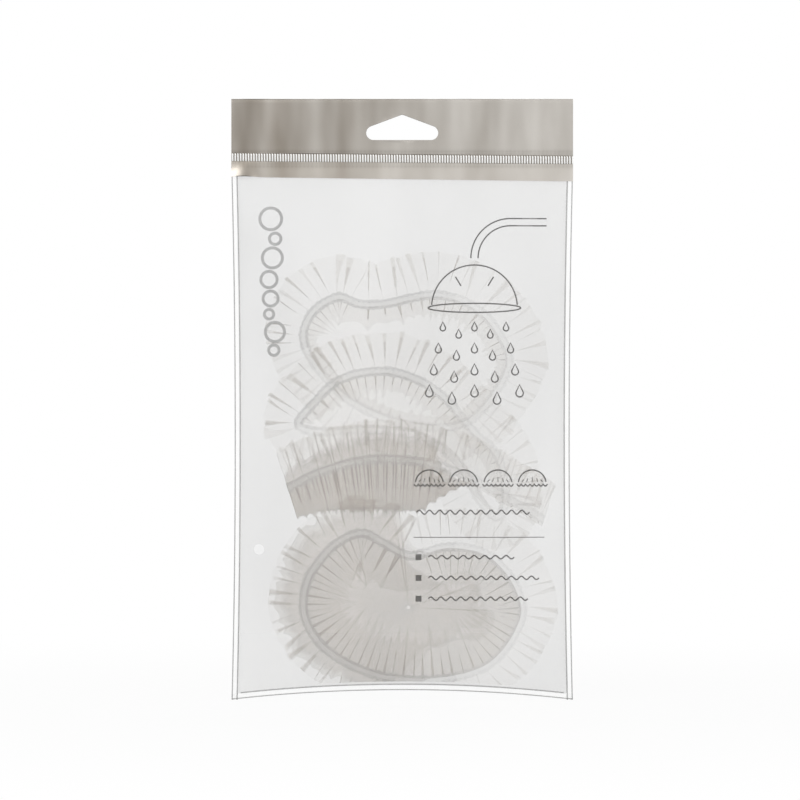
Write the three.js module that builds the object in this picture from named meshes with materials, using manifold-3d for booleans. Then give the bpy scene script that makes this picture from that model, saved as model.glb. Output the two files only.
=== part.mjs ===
import * as THREE from 'three';
import Module from 'manifold-3d';
import { mergeVertices } from 'three/addons/utils/BufferGeometryUtils.js';

// Hang pack of gathered film shower caps. Millimetres, +Z up, front towards -Y.
// The origin is the peak of the hang slot, where a peg carries the pack.

// Clearance between neighbouring pieces
const FIT_GAP = 0.3;

// Header strip: metallised film folded over the top of the bag
const PACK_WIDTH = 151.8;
const FOLD_ABOVE_SLOT = 7.1;
const SEAL_DROP = 17.9;
const SEAL_HEIGHT = 3.5;
const LIP_HEIGHT = 7;
const LIP_CORNER = 1.2;
const STRIP_WALL = 0.25;
const RIB_PITCH = 1.18;
const RIB_DEPTH = 0.35;

// Hang slot: a flat-bottomed delta with round ends
const SLOT_WIDTH = 32;
const SLOT_HEIGHT = 11.3;
const SLOT_END_RADIUS = 3.2;
const SLOT_PEAK_RADIUS = 1.4;

// Bag: two frosted films welded at the sides and the bottom
const BAG_DROP = 231;
const BAG_WALL = 0.25;
const SEAM_SPACE = 0.4;
const WELD_WIDTH = 2.4;
const SIDE_WAIST = 1.4;
const BOTTOM_BOW = 4.2;
const SHOULDER = 26;
const TOE = 22;
const VENT_DIAMETER = 4.6;
const VENT_FROM_SIDE = 12.4;
const VENT_ABOVE_CORNER = 67;

// Caps: one gathered disc of film each, with an elastic under a welded tape
const ELASTIC_LENGTH = 258;
const ELASTIC_WIDTH = 2.4;
const ELASTIC_WALL = 0.5;
const CASING_WALL = 0.3;
const FILM_WALL = 0.3;
const FRILL_LENGTH = 13.4;
const FRILL_WAVER = 0.9;
const PLEATS = 40;
const PLEAT_DEPTH = 2.4;
const GATHER_LENGTH = 12;
const LAYER_GAP = 0.4;
const STACK_CLEARANCE = 0.6;
const EDGE_CLEARANCE = 1.2;

// Caps from the top of the pack: how far a mouth's middle lies to one side of the pack's middle, how far
// its lowest point lies above the bag's corners, its half width, and the height of its arch
const CAP_1_TO_RIGHT = 1.4;
const CAP_1_FOOT = 117.9;
const CAP_1_HALF = 45;
const CAP_2_TO_LEFT = 0.4;
const CAP_2_FOOT = 80.7;
const CAP_2_HALF = 50;
const CAP_2_ARCH = 27;
const CAP_3_TO_RIGHT = 6.6;
const CAP_3_FOOT = 85.2;
const CAP_3_ARCH = 17;
const CAP_4_TO_RIGHT = 4.4;
const CAP_4_FOOT = 12.3;
const CAP_4_HALF = 48;

// How square each mouth lies, its turn in degrees, and its layer from the front.
// A mouth with an arch and no half width is folded flat.
const CAPS = [
  { x: CAP_1_TO_RIGHT, foot: CAP_1_FOOT, half: CAP_1_HALF, square: 3, turn: 1, layer: 3 },
  { x: -CAP_2_TO_LEFT, foot: CAP_2_FOOT, half: CAP_2_HALF, arch: CAP_2_ARCH, turn: -26, layer: 2 },
  { x: CAP_3_TO_RIGHT, foot: CAP_3_FOOT, arch: CAP_3_ARCH, turn: -3, layer: 0 },
  { x: CAP_4_TO_RIGHT, foot: CAP_4_FOOT, half: CAP_4_HALF, square: 2.1, turn: 0, layer: 1 },
];

const seamHalf = SEAM_SPACE / 2 + BAG_WALL;
const stripInner = seamHalf + FIT_GAP;
const stripOuter = stripInner + STRIP_WALL;
const sealTop = -SEAL_DROP;
const sealBottom = sealTop - SEAL_HEIGHT;
const lipTop = sealBottom - FIT_GAP;
const lipBottom = lipTop - LIP_HEIGHT;
const bagTop = lipBottom - FIT_GAP;
const cornerZ = bagTop - BAG_DROP;

const bandDepth = CASING_WALL + ELASTIC_WALL + FILM_WALL + 2 * FIT_GAP;
const layerDepth = Math.max(PLEAT_DEPTH, bandDepth);
const casingFront = (layerDepth - bandDepth) / 2;
const elasticFront = casingFront + CASING_WALL + FIT_GAP;
const elasticBack = elasticFront + ELASTIC_WALL;
const filmFront = elasticBack + FIT_GAP;
const casingHalf = ELASTIC_WIDTH / 2 + FIT_GAP + CASING_WALL;
const bandRoot = casingHalf + FIT_GAP;
const foldHalf = 1.4 * bandRoot;
const sideClearance = 3 * EDGE_CLEARANCE;
const stackHalf = (CAPS.length * layerDepth + (CAPS.length - 1) * LAYER_GAP) / 2;
const bagSwell = stackHalf + STACK_CLEARANCE;

const wasm = await Module();
wasm.setup();

const silver = () => new THREE.MeshStandardMaterial({ color: 0xb3ada4, roughness: 0.32, metalness: 0.85 });
const frosted = () => new THREE.MeshStandardMaterial({ color: 0xe9e9e7, roughness: 0.4, metalness: 0 });
const weldFilm = () => new THREE.MeshStandardMaterial({ color: 0xf2f2f0, roughness: 0.35, metalness: 0 });
const capFilm = () => new THREE.MeshStandardMaterial({ color: 0xdcdad6, roughness: 0.3, metalness: 0 });
const tapeFilm = () => new THREE.MeshStandardMaterial({ color: 0xc4c1bc, roughness: 0.35, metalness: 0 });
const rubber = () => new THREE.MeshStandardMaterial({ color: 0xb9b5af, roughness: 0.7, metalness: 0 });

const pack = new THREE.Group();
pack.name = 'shower_cap_pack';

function place(name, geometry, material) {
  const mesh = new THREE.Mesh(geometry, material);
  mesh.name = name;
  pack.add(mesh);
}

// Closed geometry from points and triangles, turned so that its faces point out
function closedGeometry(points, triangles) {
  let volume = 0;
  for (const [a, b, c] of triangles) {
    volume += points[a].dot(new THREE.Vector3().crossVectors(points[b], points[c]));
  }
  const index = triangles.flatMap(([a, b, c]) => (volume > 0 ? [a, b, c] : [a, c, b]));
  const geometry = new THREE.BufferGeometry();
  const values = points.flatMap((p) => [p.x, p.y, p.z]);
  geometry.setAttribute('position', new THREE.Float32BufferAttribute(values, 3));
  geometry.setIndex(index);
  return geometry;
}

function toManifold(geometry) {
  const bare = geometry.clone();
  bare.deleteAttribute('normal');
  bare.deleteAttribute('uv');
  const merged = mergeVertices(bare, 1e-4);
  return new wasm.Manifold(new wasm.Mesh({
    numProp: 3,
    vertProperties: new Float32Array(merged.attributes.position.array),
    triVerts: new Uint32Array(merged.index.array),
  }));
}

function cut(body, tool) {
  const mesh = toManifold(body).subtract(toManifold(tool)).getMesh();
  const geometry = new THREE.BufferGeometry();
  geometry.setAttribute('position', new THREE.Float32BufferAttribute(mesh.vertProperties, 3));
  geometry.setIndex(Array.from(mesh.triVerts));
  return geometry;
}

// Shape drawn in X and Z, given a thickness from one depth to the other
function plate(shape, front, back, curveSegments) {
  const depth = back - front;
  const geometry = new THREE.ExtrudeGeometry(shape, { depth, bevelEnabled: false, curveSegments });
  const basis = new THREE.Matrix4().makeBasis(
    new THREE.Vector3(1, 0, 0), new THREE.Vector3(0, 0, 1), new THREE.Vector3(0, -1, 0));
  geometry.applyMatrix4(basis);
  geometry.translate(0, back, 0);
  return geometry;
}

// Header strip

function stripProfile() {
  const foldZ = FOLD_ABOVE_SLOT - stripOuter;
  const shape = new THREE.Shape();
  shape.moveTo(-stripOuter, sealTop + FIT_GAP);
  shape.lineTo(-stripOuter, foldZ);
  shape.absarc(0, foldZ, stripOuter, Math.PI, 0, true);
  shape.lineTo(stripOuter, lipBottom);
  shape.lineTo(stripInner, lipBottom);
  shape.lineTo(stripInner, foldZ);
  shape.absarc(0, foldZ, stripInner, 0, Math.PI, false);
  shape.lineTo(-stripInner, sealTop + FIT_GAP);
  return shape;
}

function slotShape() {
  const endX = SLOT_WIDTH / 2 - SLOT_END_RADIUS;
  const endZ = SLOT_END_RADIUS - SLOT_HEIGHT;
  const peakZ = -SLOT_PEAK_RADIUS;
  const run = Math.hypot(endX, peakZ - endZ);
  const slope = Math.atan2(peakZ - endZ, endX);
  const normal = slope + Math.acos((SLOT_END_RADIUS - SLOT_PEAK_RADIUS) / run);
  const shape = new THREE.Shape();
  shape.absarc(endX, endZ, SLOT_END_RADIUS, -Math.PI / 2, Math.PI - normal, false);
  shape.absarc(0, peakZ, SLOT_PEAK_RADIUS, Math.PI - normal, normal, false);
  shape.absarc(-endX, endZ, SLOT_END_RADIUS, normal, Math.PI * 1.5, false);
  return shape;
}

function headerStrip() {
  const sweep = { depth: PACK_WIDTH, bevelEnabled: false, curveSegments: 8 };
  const strip = new THREE.ExtrudeGeometry(stripProfile(), sweep);
  strip.applyMatrix4(new THREE.Matrix4().makeBasis(
    new THREE.Vector3(0, 1, 0), new THREE.Vector3(0, 0, 1), new THREE.Vector3(1, 0, 0)));
  strip.translate(-PACK_WIDTH / 2, 0, 0);
  return cut(strip, plate(slotShape(), -2 * stripOuter, 2 * stripOuter, 10));
}

function ribbedSeal() {
  const ribs = Math.floor(PACK_WIDTH / RIB_PITCH);
  const start = -ribs * RIB_PITCH / 2;
  const shape = new THREE.Shape();
  shape.moveTo(-PACK_WIDTH / 2, seamHalf);
  shape.lineTo(-PACK_WIDTH / 2, RIB_DEPTH - stripOuter);
  for (let i = 0; i < ribs; i += 1) {
    shape.lineTo(start + i * RIB_PITCH, RIB_DEPTH - stripOuter);
    shape.lineTo(start + (i + 0.5) * RIB_PITCH, -stripOuter);
  }
  shape.lineTo(start + ribs * RIB_PITCH, RIB_DEPTH - stripOuter);
  shape.lineTo(PACK_WIDTH / 2, RIB_DEPTH - stripOuter);
  shape.lineTo(PACK_WIDTH / 2, seamHalf);
  const seal = new THREE.ExtrudeGeometry(shape, { depth: SEAL_HEIGHT, bevelEnabled: false });
  seal.translate(0, 0, sealBottom);
  return seal;
}

function headerLip() {
  const half = PACK_WIDTH / 2;
  const shape = new THREE.Shape();
  shape.moveTo(-half, lipTop);
  shape.lineTo(-half, lipBottom + LIP_CORNER);
  shape.absarc(LIP_CORNER - half, lipBottom + LIP_CORNER, LIP_CORNER, Math.PI, Math.PI * 1.5, false);
  shape.absarc(half - LIP_CORNER, lipBottom + LIP_CORNER, LIP_CORNER, Math.PI * 1.5, Math.PI * 2, false);
  shape.lineTo(half, lipTop);
  return plate(shape, -stripOuter, -stripInner, 4);
}

function bagNeck() {
  const neck = new THREE.BoxGeometry(PACK_WIDTH, 2 * seamHalf, lipTop - lipBottom);
  neck.translate(0, 0, (lipTop + lipBottom) / 2);
  return neck;
}

// Bag

const halfWidth = (fall) => PACK_WIDTH / 2 - SIDE_WAIST * 4 * fall * (1 - fall);
const innerHalf = (fall) => halfWidth(fall) - WELD_WIDTH - FIT_GAP;
const bottomEdge = (side) => cornerZ + BOTTOM_BOW * (1 - side * side);
const floorZ = (side) => bottomEdge(side) + WELD_WIDTH + FIT_GAP;

// Share of the full swell of the bag at a place, and the place's share of the half width
function pillow(x, z) {
  const across = THREE.MathUtils.clamp(2 * x / PACK_WIDTH, -1, 1);
  const floor = floorZ(across);
  const fall = THREE.MathUtils.clamp((bagTop - z) / (bagTop - floor), 0, 1);
  const side = Math.min(1, Math.abs(x) / innerHalf(fall));
  const shoulder = THREE.MathUtils.clamp((bagTop - z) / SHOULDER, 0, 1);
  const toe = THREE.MathUtils.clamp((z - floor) / TOE, 0, 1);
  return Math.sqrt(1 - side ** 5) * (1 - (1 - shoulder) ** 2) * (1 - (1 - toe) ** 3);
}

const COLUMNS = 14;
const SHOULDER_ROWS = [0, 0.1, 0.25, 0.45, 0.7, 1];
const MIDDLE_ROWS = [0.33, 0.67];
const TOE_ROWS = [1, 0.62, 0.36, 0.18, 0.06, 0];

function panelRows(floor) {
  const top = SHOULDER_ROWS.map((share) => bagTop - share * SHOULDER);
  const toe = TOE_ROWS.map((share) => floor + share * TOE);
  const middle = MIDDLE_ROWS.map((share) => top.at(-1) + share * (toe[0] - top.at(-1)));
  return [...top, ...middle, ...toe];
}

// Bag film on one side of the seam: front for -1, back for 1
function panel(facing) {
  const points = [];
  const triangles = [];
  const rowCount = SHOULDER_ROWS.length + MIDDLE_ROWS.length + TOE_ROWS.length;
  for (let i = 0; i <= COLUMNS; i += 1) {
    const side = Math.sin((i / COLUMNS - 0.5) * Math.PI);
    const floor = floorZ(side);
    for (const z of panelRows(floor)) {
      const x = side * innerHalf((bagTop - z) / (bagTop - floor));
      const edge = i === 0 || i === COLUMNS;
      const inside = SEAM_SPACE / 2 + (edge ? 0 : bagSwell * pillow(x, z));
      points.push(new THREE.Vector3(x, facing * inside, z));
      points.push(new THREE.Vector3(x, facing * (inside + BAG_WALL), z));
    }
  }
  const inner = (i, j) => 2 * (i * rowCount + j);
  const outer = (i, j) => inner(i, j) + 1;
  const quad = (a, b, c, d) => triangles.push([a, b, c], [a, c, d]);
  for (let i = 0; i < COLUMNS; i += 1) {
    for (let j = 0; j < rowCount - 1; j += 1) {
      quad(inner(i, j), inner(i + 1, j), inner(i + 1, j + 1), inner(i, j + 1));
      quad(outer(i, j), outer(i, j + 1), outer(i + 1, j + 1), outer(i + 1, j));
    }
    const last = rowCount - 1;
    quad(inner(i, 0), outer(i, 0), outer(i + 1, 0), inner(i + 1, 0));
    quad(inner(i, last), inner(i + 1, last), outer(i + 1, last), outer(i, last));
  }
  for (let j = 0; j < rowCount - 1; j += 1) {
    quad(inner(0, j), inner(0, j + 1), outer(0, j + 1), outer(0, j));
    quad(inner(COLUMNS, j), outer(COLUMNS, j), outer(COLUMNS, j + 1), inner(COLUMNS, j + 1));
  }
  return closedGeometry(points, triangles);
}

function frontPanel() {
  const vent = new THREE.CylinderGeometry(VENT_DIAMETER / 2, VENT_DIAMETER / 2, 4 * bagSwell, 16);
  vent.translate(VENT_FROM_SIDE - PACK_WIDTH / 2, -2 * bagSwell, cornerZ + VENT_ABOVE_CORNER);
  return cut(panel(-1), vent);
}

// Margin down one side: left for -1, right for 1
function sideWeld(facing) {
  const shape = new THREE.Shape();
  const outer = facing * PACK_WIDTH / 2;
  const inner = outer - facing * WELD_WIDTH;
  const middle = (bagTop + cornerZ) / 2;
  const bend = facing * 2 * SIDE_WAIST;
  shape.moveTo(outer, bagTop);
  shape.quadraticCurveTo(outer - bend, middle, outer, cornerZ);
  shape.lineTo(inner, cornerZ);
  shape.quadraticCurveTo(inner - bend, middle, inner, bagTop);
  return plate(shape, -seamHalf, seamHalf, 12);
}

function bottomWeld() {
  const half = PACK_WIDTH / 2 - WELD_WIDTH - FIT_GAP;
  const shape = new THREE.Shape();
  shape.moveTo(-half, cornerZ);
  shape.quadraticCurveTo(0, cornerZ + 2 * BOTTOM_BOW, half, cornerZ);
  shape.lineTo(half, cornerZ + WELD_WIDTH);
  shape.quadraticCurveTo(0, cornerZ + WELD_WIDTH + 2 * BOTTOM_BOW, -half, cornerZ + WELD_WIDTH);
  return plate(shape, -seamHalf, seamHalf, 16);
}

// Caps

const FINE = 480;
const STATION_CROWDING = 6;

function loopLength(points) {
  let total = 0;
  for (let i = 0; i < points.length; i += 1) {
    total += points[i].distanceTo(points[(i + 1) % points.length]);
  }
  return total;
}

// Mouth as an oval, round for 2 and squarer above
function ovalMouth(half, height, square) {
  const bulge = (value) => Math.sign(value) * Math.abs(value) ** (2 / square);
  const points = [];
  for (let i = 0; i < FINE; i += 1) {
    const angle = i / FINE * Math.PI * 2;
    points.push(new THREE.Vector2(half * bulge(Math.cos(angle)), height * bulge(Math.sin(angle))));
  }
  return points;
}

// Mouth drawn out long, with round ends, bent into an arch
function archedMouth(half, height, arch) {
  const run = new THREE.Shape();
  const straight = half - height;
  run.absarc(straight, 0, height, -Math.PI / 2, Math.PI / 2, false);
  run.absarc(-straight, 0, height, Math.PI / 2, Math.PI * 1.5, false);
  run.closePath();
  return run.getSpacedPoints(FINE).slice(0, FINE).map((p) => {
    const upright = new THREE.Vector2(2 * arch * p.x / half ** 2, 1).normalize();
    return new THREE.Vector2(p.x, arch * (1 - (p.x / half) ** 2)).addScaledVector(upright, p.y);
  });
}

// Size that gives a mouth the elastic's length, found by halving
function fitLength(mouth, low, high) {
  let [small, large] = [low, high];
  for (let i = 0; i < 40; i += 1) {
    const middle = (small + large) / 2;
    if (loopLength(mouth(middle)) < ELASTIC_LENGTH) {
      small = middle;
    } else {
      large = middle;
    }
  }
  return mouth(small);
}

// Stations round a mouth, closer together where it bends tightly
function stations(mouth, count) {
  const outline = new THREE.Shape(mouth);
  outline.closePath();
  const points = outline.getSpacedPoints(FINE).slice(0, FINE);
  const total = points.length;
  const step = (i) => points[(i + 1) % total].clone().sub(points[i]);
  const weights = points.map((_, i) => {
    const turn = Math.abs(step((i + total - 1) % total).cross(step(i)));
    const length = step(i).length();
    return length + STATION_CROWDING * turn / length ** 2;
  });
  const sum = weights.reduce((a, b) => a + b, 0);
  const chosen = [];
  let passed = 0;
  for (let i = 0; i < total; i += 1) {
    if (passed >= chosen.length * sum / count - 1e-9 && chosen.length < count) {
      const along = points[(i + 3) % total].clone().sub(points[(i + total - 3) % total]).normalize();
      chosen.push({ at: points[i], out: new THREE.Vector2(along.y, -along.x) });
    }
    passed += weights[i];
  }
  return chosen;
}

// An arched mouth opens as far as its half width leaves elastic over. One without a half width
// lies flat, or opens where the bag is too narrow for its whole length.
function capMouth(cap) {
  if (!cap.arch) {
    return fitLength((height) => ovalMouth(cap.half, height, cap.square), foldHalf, ELASTIC_LENGTH / 2);
  }
  const flat = fitLength((half) => archedMouth(half, foldHalf, cap.arch), foldHalf, ELASTIC_LENGTH / 2);
  const room = innerHalf(0.5) - sideClearance - Math.abs(cap.x);
  const half = Math.min(room, cap.half ?? Infinity, Math.max(...flat.map((p) => p.x)));
  return fitLength((height) => archedMouth(half, height, cap.arch), foldHalf, half);
}

function capShape(cap) {
  const mouth = capMouth(cap);
  const half = Math.max(...mouth.map((p) => p.x));
  const bend = cap.arch ? cap.arch / half ** 2 : 0;
  const arch = (x) => bend * (half ** 2 - x ** 2);
  const turn = THREE.MathUtils.degToRad(cap.turn);
  const middle = new THREE.Vector2();
  const lowest = Math.min(...mouth.map((p) => p.clone().rotateAround(middle, turn).y));
  const centre = new THREE.Vector2(cap.x, cornerZ + cap.foot - lowest);
  const toPack = (p) => p.clone().rotateAround(middle, turn).add(centre);
  const layerFront = cap.layer * (layerDepth + LAYER_GAP) - stackHalf;
  // Point of the pack at a place of the mouth's plane and a depth in the cap's layer
  const point = (place, depth) => {
    const p = toPack(place);
    return new THREE.Vector3(p.x, (layerFront + depth) * pillow(p.x, p.y), p.y);
  };
  const offset = (station, reach) => station.at.clone().addScaledVector(station.out, reach);
  return { mouth, half, bend, arch, toPack, point, offset };
}

// Frill's edge from its root, kept inside the bag. An arched mouth's frill stands square to its arch.
function frillEdge(cap, shape, station, number) {
  const root = shape.offset(station, bandRoot);
  const upright = new THREE.Vector2(2 * shape.bend * station.at.x, 1).normalize();
  const above = station.at.y > shape.arch(station.at.x);
  const away = cap.arch ? upright.multiplyScalar(above ? 1 : -1) : station.out;
  const ends = cap.arch ? Math.min(1, 0.25 + 14 * (1 - Math.abs(station.at.x) / shape.half)) : 1;
  let length = FRILL_LENGTH * ends + FRILL_WAVER * Math.sin(2.4 * number);
  let edge = root.clone().addScaledVector(away, length);
  while (length > FILM_WALL && !insideBag(shape.toPack(edge))) {
    length -= 0.2;
    edge = root.clone().addScaledVector(away, length);
  }
  return edge;
}

function insideBag(p) {
  const floor = floorZ(THREE.MathUtils.clamp(2 * p.x / PACK_WIDTH, -1, 1));
  const fall = THREE.MathUtils.clamp((bagTop - p.y) / (bagTop - floor), 0, 1);
  return p.y > floor + EDGE_CLEARANCE && Math.abs(p.x) < innerHalf(fall) - sideClearance;
}

// Film disc: pleated frill, flat under the casing, gathers and crown inside the mouth
function filmDisc(cap) {
  const shape = capShape(cap);
  const count = 2 * PLEATS;
  const around = stations(shape.mouth, count);
  const back = layerDepth - FILM_WALL;
  const inner = (s) => shape.offset(s, -bandRoot);
  const wide = Math.max(...around.map((s) => Math.abs(inner(s).x)));
  const tall = Math.max(...around.map((s) => Math.abs(inner(s).y - shape.arch(inner(s).x))));
  const gather = Math.min(GATHER_LENGTH, 0.6 * tall);
  const inset = (place, distance) => {
    const x = place.x * (1 - distance / wide);
    return new THREE.Vector2(x, (place.y - shape.arch(place.x)) * (1 - distance / tall) + shape.arch(x));
  };
  const rings = [
    { place: (s, i) => frillEdge(cap, shape, s, i), depth: (i) => (i % 2 ? back : 0) },
    { place: (s) => shape.offset(s, bandRoot), depth: () => filmFront },
    { place: inner, depth: () => filmFront },
    { place: (s) => inset(inner(s), gather / 2), depth: (i) => (i % 2 ? back : casingFront) },
    { place: (s) => inset(inner(s), gather), depth: () => back / 2 },
  ];
  const points = [];
  const triangles = [];
  for (const ring of rings) {
    around.forEach((station, i) => {
      const place = ring.place(station, i);
      points.push(shape.point(place, ring.depth(i)));
      points.push(shape.point(place, ring.depth(i) + FILM_WALL));
    });
  }
  const front = (k, i) => 2 * (k * count + (i % count));
  const rear = (k, i) => front(k, i) + 1;
  const last = rings.length - 1;
  for (let i = 0; i < count; i += 1) {
    for (let k = 0; k < last; k += 1) {
      triangles.push([front(k, i), front(k, i + 1), front(k + 1, i)]);
      triangles.push([front(k, i + 1), front(k + 1, i + 1), front(k + 1, i)]);
      triangles.push([rear(k, i), rear(k + 1, i), rear(k, i + 1)]);
      triangles.push([rear(k, i + 1), rear(k + 1, i), rear(k + 1, i + 1)]);
    }
    triangles.push([front(0, i), rear(0, i), front(0, i + 1)]);
    triangles.push([front(0, i + 1), rear(0, i), rear(0, i + 1)]);
  }
  const crown = around.map((station, i) => rings[last].place(station, i));
  for (const [a, b, c] of THREE.ShapeUtils.triangulateShape(crown, [])) {
    triangles.push([front(last, a), front(last, b), front(last, c)]);
    triangles.push([rear(last, a), rear(last, c), rear(last, b)]);
  }
  return closedGeometry(points, triangles);
}

// Profile of reaches and depths carried round a mouth
function sweepRound(cap, profile) {
  const shape = capShape(cap);
  const around = stations(shape.mouth, PLEATS);
  const count = around.length;
  const size = profile.length;
  const points = around.flatMap((station) => profile.map(([reach, depth]) => (
    shape.point(shape.offset(station, reach), depth))));
  const triangles = [];
  for (let i = 0; i < count; i += 1) {
    for (let k = 0; k < size; k += 1) {
      const [a, b] = [i * size + k, i * size + (k + 1) % size];
      const [c, d] = [(i + 1) % count * size + k, (i + 1) % count * size + (k + 1) % size];
      triangles.push([a, c, b], [b, c, d]);
    }
  }
  return closedGeometry(points, triangles);
}

// Tape welded over the elastic: a shallow channel open towards the film
function casingTape(cap) {
  const inner = casingHalf - CASING_WALL;
  const roof = casingFront + CASING_WALL;
  return sweepRound(cap, [
    [-casingHalf, elasticBack], [-casingHalf, casingFront],
    [casingHalf, casingFront], [casingHalf, elasticBack],
    [inner, elasticBack], [inner, roof],
    [-inner, roof], [-inner, elasticBack],
  ]);
}

function elasticBand(cap) {
  const half = ELASTIC_WIDTH / 2;
  return sweepRound(cap, [
    [-half, elasticFront], [half, elasticFront], [half, elasticBack], [-half, elasticBack],
  ]);
}

place('header_strip', headerStrip(), silver());
place('ribbed_seal', ribbedSeal(), silver());
place('header_lip', headerLip(), silver());
place('bag_neck', bagNeck(), frosted());
place('front_panel', frontPanel(), frosted());
place('back_panel', panel(1), frosted());
place('left_side_weld', sideWeld(-1), weldFilm());
place('right_side_weld', sideWeld(1), weldFilm());
place('bottom_weld', bottomWeld(), weldFilm());
CAPS.forEach((cap, i) => {
  place(`cap_${i + 1}_film`, filmDisc(cap), capFilm());
  place(`cap_${i + 1}_casing`, casingTape(cap), tapeFilm());
  place(`cap_${i + 1}_elastic`, elasticBand(cap), rubber());
});

export default pack;
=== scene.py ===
import math

import bpy
import numpy as np
from bpy.props import FloatProperty, FloatVectorProperty, IntProperty, PointerProperty
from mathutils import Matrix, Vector
from mathutils.geometry import delaunay_2d_cdt


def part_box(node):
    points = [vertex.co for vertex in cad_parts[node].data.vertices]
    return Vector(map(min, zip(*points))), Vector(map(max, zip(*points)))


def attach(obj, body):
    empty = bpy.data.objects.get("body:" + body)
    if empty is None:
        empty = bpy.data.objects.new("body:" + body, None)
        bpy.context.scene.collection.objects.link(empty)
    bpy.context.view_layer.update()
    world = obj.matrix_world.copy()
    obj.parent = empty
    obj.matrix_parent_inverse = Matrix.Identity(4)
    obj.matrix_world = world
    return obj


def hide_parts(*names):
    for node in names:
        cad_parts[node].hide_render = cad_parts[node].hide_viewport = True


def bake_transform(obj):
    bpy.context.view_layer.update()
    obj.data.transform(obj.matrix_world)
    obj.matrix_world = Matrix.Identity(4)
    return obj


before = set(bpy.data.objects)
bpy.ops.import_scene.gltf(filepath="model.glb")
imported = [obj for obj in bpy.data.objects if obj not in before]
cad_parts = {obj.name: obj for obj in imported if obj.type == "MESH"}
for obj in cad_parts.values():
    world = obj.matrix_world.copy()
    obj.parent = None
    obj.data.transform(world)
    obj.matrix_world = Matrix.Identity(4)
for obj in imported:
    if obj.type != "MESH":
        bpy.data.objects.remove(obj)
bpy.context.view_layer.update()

bl_info = {
    "name": "Shower Cap Hang Pack",
    "version": (1, 0, 0),
    "blender": (4, 5, 0),
    "location": "3D View > Sidebar > Cap Pack",
    "description": "Dresses the solids of a hang pack of gathered film caps with film, pleats and print",
    "category": "Add Mesh",
}

MM = 0.001

# Places that the solids give, in metres
STRIP_LOW, STRIP_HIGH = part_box("header_strip")
SEAL_LOW, SEAL_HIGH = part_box("ribbed_seal")
PANEL_LOW, PANEL_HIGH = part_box("front_panel")
LIP_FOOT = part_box("header_lip")[0][2]
CORNER_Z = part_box("left_side_weld")[0][2]
PACK_HALF = STRIP_HIGH[0]
BAG_TOP = PANEL_HIGH[2]

# Caps from the top of the pack down, with places in millimetres across and up:
# layer, place in the stack from the front; folded, whether the cap lies flat on its mouth;
# covered, whether its lower run lies behind other caps; frill and gather, lengths against the usual;
# middle, of the slack crown; passes, how often the crown doubles up;
# below, gathers under the mouth's middle against those over it; lay, the way of the elastic mouth
CAPS = (
    {"name": "cap_1", "layer": 3, "folded": False, "covered": True, "frill": 1.12, "seed": 11,
     "middle": (2, -104), "passes": 1, "gather": 1.0, "below": 0.6,
     "lay": ((47, -113), (43, -97), (30, -84), (13, -80), (-8, -84), (-19, -84), (-29, -81), (-40, -88),
             (-44, -99), (-38, -112), (-22, -128), (4, -138), (30, -136))},
    {"name": "cap_2", "layer": 2, "folded": False, "covered": True, "frill": 1.02, "seed": 27,
     "middle": (-4, -132), "passes": 1, "gather": 1.0, "below": 0.2,
     "lay": ((46, -171), (43, -153), (31, -140), (19, -126), (5, -117), (-11, -114), (-28, -118), (-41, -130),
             (-46, -138), (-36, -141), (-14, -140), (8, -143), (24, -154), (35, -172), (42, -179))},
    {"name": "cap_3", "layer": 0, "folded": True, "covered": False, "frill": 1.0, "seed": 35,
     "passes": 3, "gather": 1.45,
     "lay": ((-51, -166), (-37, -159), (-20, -154), (-5, -153), (12, -155), (30, -161), (48, -171),
             (63, -180))},
    {"name": "cap_4", "layer": 1, "folded": False, "covered": False, "frill": 1.0, "seed": 48,
     "middle": (3, -219), "passes": 5, "gather": 2.0, "below": 1.0,
     "lay": ((53, -224), (49, -207), (37, -195), (20, -192), (4, -196), (-7, -191), (-18, -186), (-31, -192),
             (-42, -207), (-43, -224), (-32, -239), (-11, -249), (15, -251), (39, -244))},
)


# Sizes and colours that a user would change

def a_length(name, description, millimetres):
    return FloatProperty(name=name, description=description, default=millimetres * MM, unit="LENGTH")


def a_share(name, description, default):
    return FloatProperty(
        name=name, description=description, default=default, min=0.0, max=1.0, subtype="FACTOR")


def a_colour(name, description, *default):
    return FloatVectorProperty(
        name=name, description=description, default=default, min=0.0, max=1.0, subtype="COLOR")


class PackSizes(bpy.types.PropertyGroup):
    """Sizes of the pack's films, pleats and print"""

    weld_width: a_length("Weld width", "Margin where the two bag films are fused", 2.4)
    side_waist: a_length("Side waist", "How far the sides draw in half way down", 1.4)
    bottom_bow: a_length("Bottom bow", "How far the bottom edge rises in its middle", 4.2)
    shoulder: a_length("Shoulder", "Height over which the bag swells below the header", 26.0)
    toe: a_length("Toe", "Height over which the bag swells above its bottom weld", 22.0)
    wrinkle: a_length("Wrinkle depth", "Depth of the soft wrinkles in the bag film", 0.28)
    vent_diameter: a_length("Vent diameter", "Punched air hole low on the left of the front film", 4.6)
    pleats: IntProperty(
        name="Pleats", description="Pleats round each elastic mouth", default=60, min=20, max=90)
    frill_length: a_length("Frill length", "Film that stands outside the elastic", 13.4)
    gather_length: a_length("Gather length", "Gathered ring of the crown inside the elastic", 11.0)
    casing_width: a_length("Casing width", "Tape welded over the elastic", 3.6)
    elastic_width: a_length("Elastic width", "Elastic inside the casing", 2.4)
    layer_depth: a_length("Layer depth", "Depth that one cap takes in the stack", 2.4)
    layer_gap: a_length("Layer gap", "Room between caps in the stack", 0.4)
    stroke: a_length("Print stroke", "Width of the printed lines", 0.6)


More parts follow.
